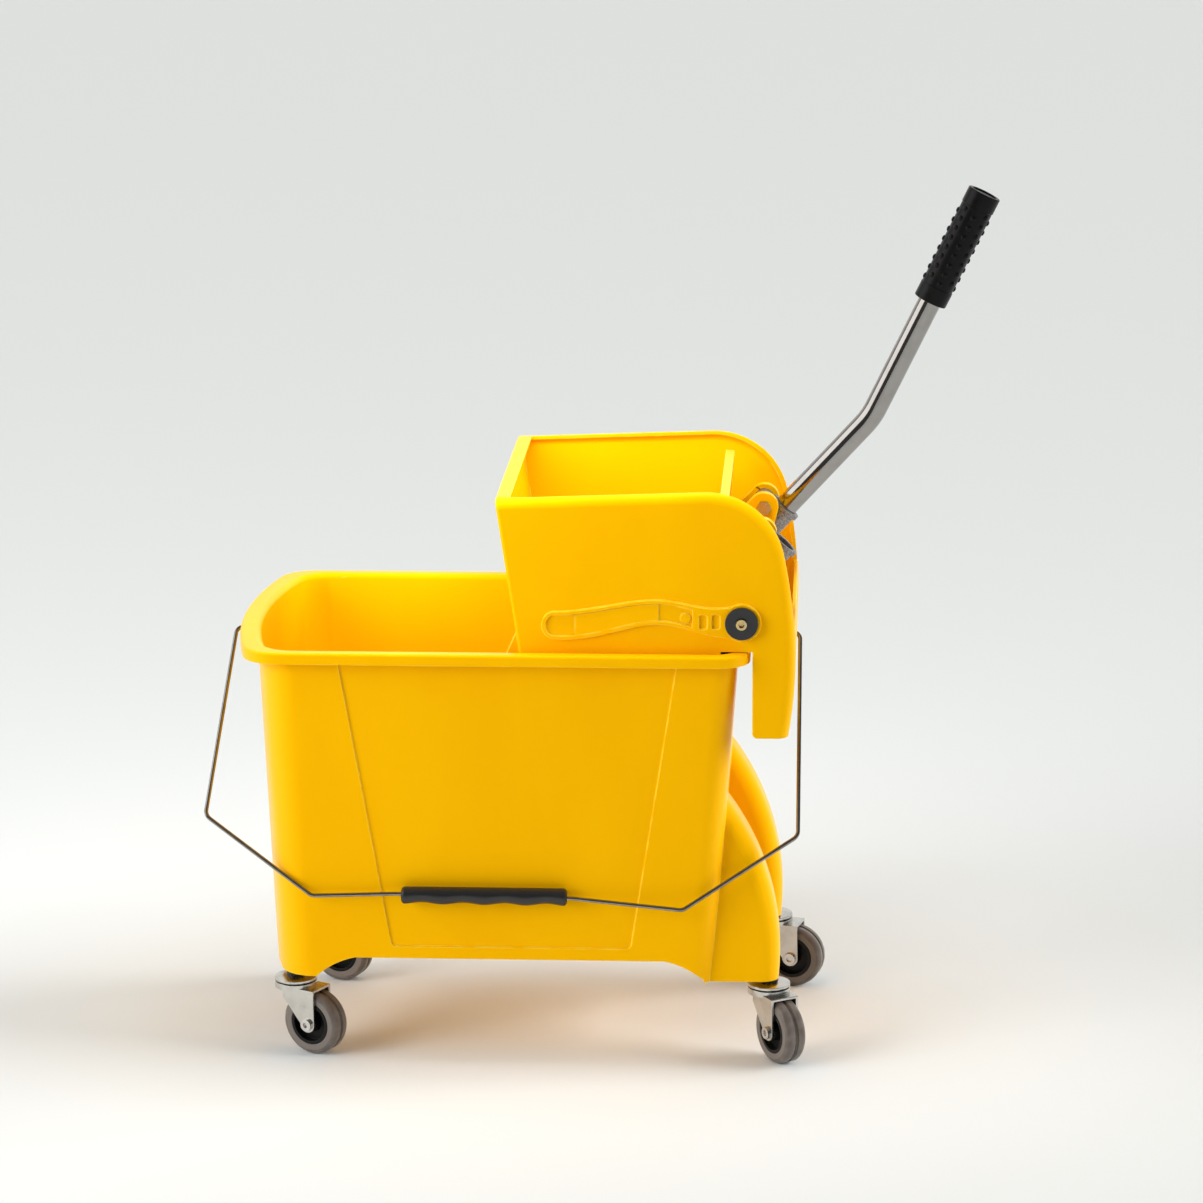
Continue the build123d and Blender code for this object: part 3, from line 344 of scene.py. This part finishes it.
@dataclass(frozen=True)
class PlatedMetal(Finish):
    """Plated metal with blotches of the bath, fine rolling streaks and brighter edges."""

    blotch_colour: Colour = (0.5, 0.5, 0.5)
    blotch_scale: float = 90.0
    blotch_band: Span = (0.4, 0.7)
    streak: Triple = (1, 1, 1)
    streak_scale: float = 700.0
    streak_depth: float = 0.00001
    uneven: float = 0.1
    edge_gloss: float = 0.05

    def sockets(self, graph: Graph) -> dict[str, Any]:
        """Blotches in the colour, streaks in the gloss.

        Args:
            graph: The material's graph.

        Returns:
            Values and links of the shader's sockets.
        """
        blotch = graph.noise(graph.place(), self.blotch_scale, detail=4.0)
        streak = graph.noise(graph.place(self.streak), self.streak_scale, detail=3.0)
        edge = graph.attribute(EDGE_LAYER)
        blotched = self.roughness + (blotch - NOISE_MEAN) * self.uneven
        streaked = blotched + (streak - NOISE_MEAN) * self.uneven
        bath = blotch.between(*self.blotch_band)
        return {
            "Base Color": graph.mix(bath, self.colour, self.blotch_colour),
            "Metallic": 1.0,
            "Roughness": streaked - edge * self.edge_gloss,
            "Normal": graph.bump(streak, self.streak_depth),
        }


@dataclass(frozen=True)
class CastMetal(Finish):
    """Rough cast metal with pits and a dull skin."""

    pit_colour: Colour = (0.1, 0.1, 0.1)
    pit_depth: float = 0.0002
    sand_scale: float = 620.0
    sand_band: Span = (0.35, 0.65)
    lump_scale: float = 140.0
    metallic: float = 0.85
    lump_gloss: float = 0.2
    edge_gloss: float = 0.15

    def sockets(self, graph: Graph) -> dict[str, Any]:
        """Pits and a sandy skin.

        Args:
            graph: The material's graph.

        Returns:
            Values and links of the shader's sockets.
        """
        place = graph.place()
        sand = graph.noise(place, self.sand_scale, detail=4.0)
        lump = graph.noise(place, self.lump_scale, detail=2.0)
        edge = graph.attribute(EDGE_LAYER)
        lumpy = self.roughness + (lump - NOISE_MEAN) * self.lump_gloss
        return {
            "Base Color": graph.mix(sand.between(*self.sand_band), self.pit_colour, self.colour),
            "Metallic": self.metallic,
            "Roughness": lumpy - edge * self.edge_gloss,
            "Normal": graph.bump(sand + lump, self.pit_depth),
        }


@dataclass(frozen=True)
class Rubber(Finish):
    """Dull rubber with a fine grain and a little dust."""

    dust_colour: Colour = (0.1, 0.1, 0.1)
    dust_share: float = 0.2
    dust_scale: float = 160.0
    dust_band: Span = (0.45, 0.75)
    dust_gloss: float = 0.4
    grain_depth: float = 0.00004
    grain_scale: float = 1500.0
    grain_gloss: float = 0.1
    specular: float = 0.25

    def sockets(self, graph: Graph) -> dict[str, Any]:
        """Dust in the colour, grain in the surface.

        Args:
            graph: The material's graph.

        Returns:
            Values and links of the shader's sockets.
        """
        place = graph.place()
        settled = graph.noise(place, self.dust_scale, detail=5.0).between(*self.dust_band)
        dust = settled * self.dust_share
        grain = graph.noise(place, self.grain_scale, detail=2.0)
        dusty = self.roughness + dust * self.dust_gloss
        return {
            "Base Color": graph.mix(dust, self.colour, self.dust_colour),
            "Roughness": dusty + (grain - NOISE_MEAN) * self.grain_gloss,
            "Specular IOR Level": self.specular,
            "Normal": graph.bump(grain, self.grain_depth),
        }


@dataclass(frozen=True)
class TyreRubber(Finish):
    """Moulded tyre rubber, smoother on the tread than on the side walls."""

    tread_colour: Colour = (0.1, 0.1, 0.1)
    tread_roughness: float = 0.3
    tread_band: Span = (0.3, 0.7)
    worn_band: Span = (0.2, 0.7)
    dust_scale: float = 120.0
    dust_gloss: float = 0.15
    grain_depth: float = 0.00004
    grain_scale: float = 1300.0

    def sockets(self, graph: Graph) -> dict[str, Any]:
        """Worn tread, dull side walls and dust.

        Args:
            graph: The material's graph.

        Returns:
            Values and links of the shader's sockets.
        """
        place = graph.place()
        tread = graph.attribute(TREAD_LAYER).between(*self.tread_band)
        dust = graph.noise(place, self.dust_scale, detail=4.0)
        grain = graph.noise(place, self.grain_scale, detail=2.0)
        worn = tread * dust.between(*self.worn_band)
        polished = self.roughness + tread * (self.tread_roughness - self.roughness)
        return {
            "Base Color": graph.mix(worn, self.colour, self.tread_colour),
            "Roughness": polished + (dust - NOISE_MEAN) * self.dust_gloss,
            "Normal": graph.bump(grain, self.grain_depth),
        }


YELLOW_PLASTIC = MouldedPlastic(
    "yellow_plastic",
    (0.93, 0.462, 0.0006),
    0.34,
    flow_colour=(0.95, 0.485, 0.0008),
    # The pale edge colour on the softened edges is mostly a painted highlight of the rounded edges,
    # with a little edge wear.
    edge_wear_and_highlight_colour=(0.97, 0.64, 0.04),
    edge_wear_and_highlight_share=0.7,
    specular=0.4,
    specular_tint=(1.0, 0.5, 0.0),
)
BLACK_PLASTIC = MouldedPlastic(
    "black_plastic",
    (0.012, 0.012, 0.013),
    0.32,
    flow_colour=(0.016, 0.016, 0.017),
    edge_wear_and_highlight_colour=(0.05, 0.05, 0.05),
)
BLACK_HUB = MouldedPlastic(
    "black_hub",
    (0.005, 0.005, 0.005),
    0.40,
    flow_colour=(0.008, 0.008, 0.0075),
    edge_wear_and_highlight_colour=(0.03, 0.03, 0.03),
    specular=0.2,
)
BLACK_RUBBER = Rubber(
    "black_rubber", (0.0035, 0.0035, 0.0035), 0.30, dust_colour=(0.012, 0.012, 0.011), specular=0.14
)
GREY_TYRE = TyreRubber(
    "grey_tyre", (0.165, 0.140, 0.122), 0.52, tread_colour=(0.105, 0.085, 0.072)
)
CHROME_TUBE = PlatedMetal(
    "chrome_tube", (0.37, 0.35, 0.33), 0.08, blotch_colour=(0.34, 0.32, 0.30), uneven=0.03
)
CAST_GREY = CastMetal(
    "cast_grey", (0.36, 0.34, 0.32), 0.40, pit_colour=(0.20, 0.19, 0.18)
)
PLATED_WIRE = PlatedMetal(
    "plated_wire", (0.30, 0.28, 0.26), 0.14, blotch_colour=(0.24, 0.22, 0.20), uneven=0.05
)
PLATED_STEEL = PlatedMetal(
    "plated_steel", (0.70, 0.69, 0.67), 0.26, blotch_colour=(0.58, 0.57, 0.55)
)
ZINC_PLATE = PlatedMetal(
    "zinc_plate",
    (0.63, 0.62, 0.59),
    0.25,
    blotch_colour=(0.53, 0.52, 0.49),
    streak=(1, 1, 9),
    uneven=0.12,
)
SPRING_STEEL = PlatedMetal(
    "spring_steel", (0.42, 0.41, 0.40), 0.3, blotch_colour=(0.32, 0.31, 0.30)
)
YELLOW_ZINC = PlatedMetal(
    "yellow_zinc", (0.72, 0.52, 0.22), 0.28, blotch_colour=(0.62, 0.46, 0.24)
)


class Place(Enum):
    """The four corners that carry a caster."""

    FRONT_LEFT = "front_left"
    FRONT_RIGHT = "front_right"
    BACK_LEFT = "back_left"
    BACK_RIGHT = "back_right"


def joint(name: str) -> Mapping[str, Any]:
    """The frame's joint of a given name."""
    return next(row for row in frame["joints"] if row["name"] == name)


@dataclass
class Skin:
    """A merged copy of a CAD node, with softened edges, that stands for the node."""

    node: str
    finish: Finish
    soften: float = 0.0
    crease: float = SOFTENED_ANGLE
    segments: int = 2

    def shape(self) -> bmesh.types.BMesh:
        """Copy the node's mesh, merge it, and soften and mark its sharp edges.

        Returns:
            The shape, in the frame.
        """
        shape = bmesh.new()
        shape.from_mesh(frame["nodes"][self.node].data)
        bmesh.ops.remove_doubles(shape, verts=shape.verts, dist=MERGE_DISTANCE)
        bmesh.ops.dissolve_limit(
            shape,
            angle_limit=FLAT_ANGLE,
            verts=shape.verts,
            edges=shape.edges,
            use_dissolve_boundaries=False,
        )
        edge_layer = shape.loops.layers.float.new(EDGE_LAYER)
        if self.soften > 0:
            joined = [edge for edge in shape.edges if edge.is_manifold]
            sharp = [edge for edge in joined if edge.calc_face_angle() > self.crease]
            softened = bmesh.ops.bevel(
                shape,
                geom=sharp,
                offset=self.soften,
                offset_type="OFFSET",
                segments=self.segments,
                profile=0.5,
                affect="EDGES",
                clamp_overlap=False,
                loop_slide=True,
                material=-1,
            )
            for face in softened["faces"]:
                for loop in face.loops:
                    loop[edge_layer] = 1.0
        return shape

    def build(self) -> None:
        """Make the piece and let it stand for its node."""
        show(self.shape(), self.node + "_skin", self.node, self.finish, self.crease)


def show(
    shape: bmesh.types.BMesh, name: str, node: str, finish: Finish, crease: float = SHARP_ANGLE
) -> None:
    """Turn a shape into a finished piece that stands for a CAD node.

    Args:
        shape: The shape, in the frame; it is freed.
        name: Name of the piece.
        node: The node that it stands for, whose body it rides on.
        finish: Its surface.
        crease: Angle past which an edge stays sharp.
    """
    for face in shape.faces:
        face.smooth = True
    mesh = bpy.data.meshes.new(name)
    shape.to_mesh(mesh)
    shape.free()
    stale = mesh.attributes.get("custom_normal")
    if stale:
        mesh.attributes.remove(stale)
    mesh.set_sharp_from_angle(angle=crease)
    mesh.materials.clear()
    mesh.materials.append(finish.material())
    piece = bpy.data.objects.new(name, mesh)
    bpy.context.scene.collection.objects.link(piece)
    weighting = piece.modifiers.new("even shading", "WEIGHTED_NORMAL")
    weighting.keep_sharp = True
    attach(piece, frame["nodes"][node]["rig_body"])
    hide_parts(node)
    LOG.info("%s stands for %s", name, node)


@dataclass
class Tub:
    """The moulded bucket and the collars of its caster stems."""

    edge_round: float = 0.0007
    collar_round: float = 0.0004

    def dress(self) -> None:
        """Skin the tub's pieces."""
        Skin("bucket", YELLOW_PLASTIC, self.edge_round).build()
        Skin("stem_collars", BLACK_PLASTIC, self.collar_round).build()


@dataclass
class Wringer:
    """The housing with its pivot shaft, washers, screws and springs."""

    edge_round: float = 0.0007
    washer_round: float = 0.0005
    screw_round: float = 0.0003

    def dress(self) -> None:
        """Skin the wringer's pieces."""
        Skin("wringer_housing", YELLOW_PLASTIC, self.edge_round).build()
        Skin("pivot_shaft", PLATED_STEEL, self.screw_round).build()
        Skin("pivot_washers", BLACK_PLASTIC, self.washer_round).build()
        Skin("pivot_spacers", BLACK_PLASTIC, self.washer_round).build()
        Skin("pivot_screws", YELLOW_ZINC, self.screw_round).build()
        Skin("return_springs", SPRING_STEEL).build()


@dataclass
class PressLever:
    """The press plate with its cast sockets, their bolts and the handle."""

    plate_round: float = 0.0006
    socket_round: float = 0.0005
    bolt_round: float = 0.0003

    def dress(self) -> None:
        """Skin the lever's pieces."""
        Skin("press_plate", YELLOW_PLASTIC, self.plate_round).build()
        for side in ("near", "far"):
            Skin("handle_socket_" + side, CAST_GREY, self.socket_round).build()
        Skin("socket_bolts", PLATED_STEEL, self.bolt_round).build()
        Skin("socket_nuts", PLATED_STEEL, self.bolt_round).build()
        Skin("handle_tube", CHROME_TUBE, self.bolt_round).build()


@dataclass
class HandleGrip:
    """The rubber grip on the handle, with rows of round nubs between two plain bands."""

    lean: float = math.radians(64.2)
    radius: float = 0.0132
    waist: float = 0.0005
    length: float = 0.0943
    band: float = 0.0125
    edge_round: float = 0.0008
    edge_segments: int = 4
    rim: float = 0.0032
    recess: float = 0.0012
    nub_rows: int = 8
    nubs: int = 8
    nub_radius: float = 0.0023
    nub_rise: float = 0.0013
    nub_facets: tuple[int, int] = (10, 6)
    steps: int = 64

    def build(self) -> None:
        """Spin the body, set the nubs on it and stand it on the tube."""
        low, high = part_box("handle_grip")
        turn = Matrix.Rotation(math.pi / 2 - self.lean, 4, "Y")
        place = Matrix.Translation((low + high) / 2) @ turn
        shape = self.body()
        self.add_nubs(shape)
        bmesh.ops.transform(shape, matrix=place, verts=shape.verts)
        show(shape, "handle_grip_rubber", "handle_grip", BLACK_RUBBER)

    def body(self) -> bmesh.types.BMesh:
        """Turn the grip's body about Z and round its ends.

        Returns:
            The body, its middle at the origin.
        """
        half = self.length / 2
        waist = self.radius - self.waist
        outline = (
            (0.0, -half),
            (self.radius, -half),
            (self.radius, self.band - half),
            (waist, self.band - half + self.waist),
            (waist, half - self.band - self.waist),
            (self.radius, half - self.band),
            (self.radius, half),
            (self.radius - self.rim, half),
            (self.radius - self.rim, half - self.recess),
            (0.0, half - self.recess),
        )
        shape = turned(outline, self.steps)
        ends = [
            edge
            for edge in shape.edges
            if abs(abs(edge.verts[0].co.z) - half) < MERGE_DISTANCE
            and abs(edge.verts[0].co.z - edge.verts[1].co.z) < MERGE_DISTANCE
            and edge.calc_face_angle() > CORNER_ANGLE
        ]
        bmesh.ops.bevel(
            shape,
            geom=ends,
            offset=self.edge_round,
            segments=self.edge_segments,
            profile=0.5,
            affect="EDGES",
            material=-1,
        )
        return shape

    def add_nubs(self, shape: bmesh.types.BMesh) -> None:
        """Set staggered rows of nubs on the body.

        Args:
            shape: The body, about Z.
        """
        span = self.length - 2 * self.band
        pitch = span / (self.nubs + 0.5)
        base = self.radius - self.waist
        facets_round, facets_up = self.nub_facets
        size = Matrix.Diagonal((self.nub_rise, self.nub_radius, self.nub_radius, 1.0))
        for row in range(self.nub_rows):
            turn = Matrix.Rotation(FULL_TURN * row / self.nub_rows, 4, "Z")
            shift = pitch / 2 if row % 2 else 0.0
            for index in range(self.nubs):
                height = (index + 0.5) * pitch + shift - span / 2
                place = turn @ Matrix.Translation((base, 0, height)) @ size
                bmesh.ops.create_uvsphere(
                    shape, u_segments=facets_round, v_segments=facets_up, radius=1.0, matrix=place
                )


def turned(outline: Sequence[tuple[float, float]], steps: int) -> bmesh.types.BMesh:
    """Turn an outline about Z into a closed solid.

    Args:
        outline: Points (radius, height), from axis to axis.
        steps: Facets round the axis.

    Returns:
        The shape, with its normals outwards.
    """
    shape = bmesh.new()
    points = [shape.verts.new((radius, 0.0, height)) for radius, height in outline]
    edges = [shape.edges.new(pair) for pair in zip(points, points[1:])]
    bmesh.ops.spin(
        shape,
        geom=points + edges,
        axis=(0, 0, 1),
        cent=(0, 0, 0),
        angle=FULL_TURN,
        steps=steps,
        use_merge=True,
    )
    bmesh.ops.remove_doubles(shape, verts=shape.verts, dist=MERGE_DISTANCE)
    bmesh.ops.recalc_face_normals(shape, faces=shape.faces)
    return shape


@dataclass
class Bail:
    """The wire carrying handle and its plastic grip with finger grooves."""

    wire_round: float = 0.0004
    radius: float = 0.0068
    scallops: int = 4
    scallop_depth: float = 0.0017
    end_round: float = 0.0030
    end_segments: int = 5
    segments: int = 32
    cuts: int = 72

    def dress(self) -> None:
        """Skin the wire and build the grip."""
        Skin("bail_wire", PLATED_WIRE, self.wire_round).build()
        self.build_grip()

    def build_grip(self) -> None:
        """Shape a round bar along X, with scallops on the side away from the pivot."""
        low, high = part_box("bail_grip")
        centre = (low + high) / 2
        length = high.x - low.x
        pivot = Vector(joint("bail_swing")["pos_m"])
        outward = (centre - pivot) * Vector((0, 1, 1))
        outward.normalize()
        side = Vector((1, 0, 0)).cross(outward)
        shape = bmesh.new()
        bmesh.ops.create_cone(
            shape,
            cap_ends=True,
            segments=self.segments,
            radius1=self.radius,
            radius2=self.radius,
            depth=length,
        )
        rims = [
            edge
            for edge in shape.edges
            if abs(edge.verts[0].co.z - edge.verts[1].co.z) < MERGE_DISTANCE
        ]
        bmesh.ops.bevel(
            shape,
            geom=rims,
            offset=self.end_round,
            segments=self.end_segments,
            profile=0.5,
            affect="EDGES",
            material=-1,
        )
        for index in range(1, self.cuts):
            height = (index / self.cuts - 0.5) * (length - 2 * self.end_round)
            bmesh.ops.bisect_plane(
                shape,
                geom=shape.verts[:] + shape.edges[:] + shape.faces[:],
                plane_co=(0, 0, height),
                plane_no=(0, 0, 1),
            )
        for vertex in shape.verts:
            along = vertex.co.z / length + 0.5
            wave = 0.5 - 0.5 * math.cos(FULL_TURN * self.scallops * along)
            outer = max(0.0, vertex.co.x / self.radius)
            vertex.co.x -= self.scallop_depth * wave * outer
        turn = Matrix((
            (0, 0, 1),
            (outward.y, side.y, 0),
            (outward.z, side.z, 0),
        )).to_4x4()
        bmesh.ops.transform(shape, matrix=Matrix.Translation(centre) @ turn, verts=shape.verts)
        bmesh.ops.recalc_face_normals(shape, faces=shape.faces)
        show(shape, "bail_grip_moulding", "bail_grip", BLACK_PLASTIC)


@dataclass
class Caster:
    """One swivel caster: stem, races, balls, fork, axle, hub and tyre."""

    place: Place
    plate_round: float = 0.0004
    hub_round: float = 0.0004
    tyre_round: float = 0.0010
    axle_round: float = 0.0003
    tread_depth: float = 0.0035

    def dress(self) -> None:
        """Skin the caster's pieces."""
        corner = self.place.value
        Skin("caster_stem_" + corner, PLATED_STEEL, self.axle_round).build()
        Skin("caster_race_" + corner, ZINC_PLATE, self.plate_round).build()
        Skin("caster_balls_" + corner, SPRING_STEEL).build()
        Skin("caster_fork_" + corner, ZINC_PLATE, self.plate_round).build()
        Skin("caster_axle_" + corner, PLATED_STEEL, self.axle_round).build()
        Skin("wheel_hub_" + corner, BLACK_HUB, self.hub_round).build()
        self.build_tyre("wheel_tyre_" + corner)

    def build_tyre(self, node: str) -> None:
        """Skin the tyre and mark its tread.

        Args:
            node: The tyre's node.
        """
        low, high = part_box(node)
        centre = (low + high) / 2
        radius = (high.z - low.z) / 2
        axis = Vector(joint("roll_" + self.place.value)["axis"])
        shape = Skin(node, GREY_TYRE, self.tyre_round).shape()
        tread = shape.verts.layers.float.new(TREAD_LAYER)
        for vertex in shape.verts:
            arm = vertex.co - centre
            reach = (arm - axis * arm.dot(axis)).length
            vertex[tread] = 1.0 if reach > radius - self.tread_depth else 0.0
        show(shape, node + "_skin", node, GREY_TYRE)


@dataclass(frozen=True)
class Sun:
    """A soft distant light, by its direction from the object and its width in degrees."""

    name: str
    toward: Triple
    strength: float
    width: float
    mirrored: bool

    def build(self) -> None:
        """Add the light; shiny pieces mirror it only where that is asked for."""
        lamp = bpy.data.lights.new(self.name, "SUN")
        lamp.energy, lamp.angle = self.strength, math.radians(self.width)
        light = bpy.data.objects.new(self.name, lamp)
        light.visible_glossy = self.mirrored
        light.matrix_world = Vector(self.toward).to_track_quat("Z", "Y").to_matrix().to_4x4()
        bpy.context.scene.collection.objects.link(light)


@dataclass(frozen=True)
class Panel:
    """A square soft lamp: its place and target, its power in watts and its beam in degrees."""

    name: str
    place: Triple
    target: Triple
    power: float
    side: float
    beam: float

    def build(self) -> None:
        """Add the lamp, unseen by the camera and in reflections."""
        lamp = bpy.data.lights.new(self.name, "AREA")
        lamp.energy, lamp.size, lamp.spread = self.power, self.side, math.radians(self.beam)
        light = bpy.data.objects.new(self.name, lamp)
        light.visible_camera = light.visible_glossy = False
        away = Vector(self.place) - Vector(self.target)
        turn = away.to_track_quat("Z", "Y").to_matrix().to_4x4()
        light.matrix_world = Matrix.Translation(self.place) @ turn
        bpy.context.scene.collection.objects.link(light)


@dataclass
class Studio:
    """Pale floor, soft light and the camera of the photograph."""

    floor_half: float = 60.0
    floor_colour: Colour = (0.76, 0.78, 0.77)
    floor_roughness: float = 0.9
    camera_place: Triple = (0.22871, -3.17387, 1.12744)
    yaw: float = math.radians(3.21)
    pitch: float = math.radians(13.92)
    roll: float = math.radians(-0.25)
    lens: float = 125.74
    sensor: float = 36.0
    sky_colour: Colour = (1.0, 0.99, 0.97)
    room_glow: float = 0.08
    wall_glow: float = 0.8
    wall_reach: Span = (0.0, 0.8)
    top_glow: float = 0.15
    top_reach: Span = (0.3, 0.9)
    lights: tuple[Sun | Panel, ...] = (
        Sun("left", (-0.88, -0.20, 0.42), strength=1.1, width=50.0, mirrored=True),
        Sun("right", (0.91, 0.06, 0.40), strength=3.4, width=40.0, mirrored=False),
        Panel(
            "side", (-2.10, -1.60, 1.10), (-0.15, -0.13, 0.25), power=46.0, side=1.5, beam=180.0
        ),
        Panel("tub", (-0.11, -0.09, 0.60), (-0.09, 0.12, 0.20), power=0.56, side=0.2, beam=130.0),
        Panel("hood", (0.11, -0.09, 0.72), (0.07, 0.12, 0.38), power=0.84, side=0.2, beam=130.0),
    )

    def build_camera(self) -> None:
        """Set the camera where the photograph was taken."""
        forward = Vector((
            -math.sin(self.yaw) * math.cos(self.pitch),
            math.cos(self.yaw) * math.cos(self.pitch),
            -math.sin(self.pitch),
        ))
        level = Vector((math.cos(self.yaw), math.sin(self.yaw), 0))
        upright = level.cross(forward)
        right = level * math.cos(self.roll) + upright * math.sin(self.roll)
        up = upright * math.cos(self.roll) - level * math.sin(self.roll)
        lens = bpy.data.cameras.new("camera")
        lens.lens, lens.sensor_width = self.lens, self.sensor
        camera = bpy.data.objects.new("camera", lens)
        turn = Matrix((right, up, -forward)).transposed().to_4x4()
        camera.matrix_world = Matrix.Translation(self.camera_place) @ turn
        bpy.context.scene.collection.objects.link(camera)
        bpy.context.scene.camera = camera

    def build_floor(self) -> None:
        """Lay the floor."""
        shape = bmesh.new()
        bmesh.ops.create_grid(shape, x_segments=1, y_segments=1, size=self.floor_half)
        mesh = bpy.data.meshes.new("floor")
        shape.to_mesh(mesh)
        shape.free()
        material = bpy.data.materials.new("floor_paper")
        material.use_nodes = True
        graph = Graph(material.node_tree)
        sockets = {"Base Color": (*self.floor_colour, 1.0), "Roughness": self.floor_roughness}
        shader = graph.node("ShaderNodeBsdfPrincipled", None, sockets)
        graph.node("ShaderNodeOutputMaterial", None, {"Surface": shader.outputs[0]})
        mesh.materials.append(material)
        floor = bpy.data.objects.new("floor", mesh)
        bpy.context.scene.collection.objects.link(floor)

    def build_light(self) -> None:
        """Dim room with a bright wall behind the object, soft suns and soft lamps."""
        scene = bpy.context.scene
        scene.view_settings.view_transform = "Standard"
        world = bpy.data.worlds.new("studio")
        scene.world = world
        world.use_nodes = True
        graph = Graph(world.node_tree)
        direction = graph.node("ShaderNodeTexCoord").outputs["Generated"]
        parts = graph.node("ShaderNodeSeparateXYZ", None, {0: direction}).outputs
        back, height = Value(graph, parts["Y"]), Value(graph, parts["Z"])
        wall = back.between(*self.wall_reach) * self.wall_glow
        top = height.between(*self.top_reach) * self.top_glow
        glow = self.room_glow + wall + top
        sockets = {"Color": (*self.sky_colour, 1.0), "Strength": glow}
        sky = graph.node("ShaderNodeBackground", None, sockets)
        graph.node("ShaderNodeOutputWorld", None, {"Surface": sky.outputs[0]})
        for light in self.lights:
            light.build()


def main() -> None:
    """Build the studio and every piece."""
    logging.basicConfig(level=logging.INFO, format="%(message)s")
    studio = Studio()
    studio.build_camera()
    studio.build_floor()
    studio.build_light()
    Tub().dress()
    Wringer().dress()
    PressLever().dress()
    HandleGrip().build()
    Bail().dress()
    for place in Place:
        Caster(place).dress()


if __name__ == "__main__":
    main()
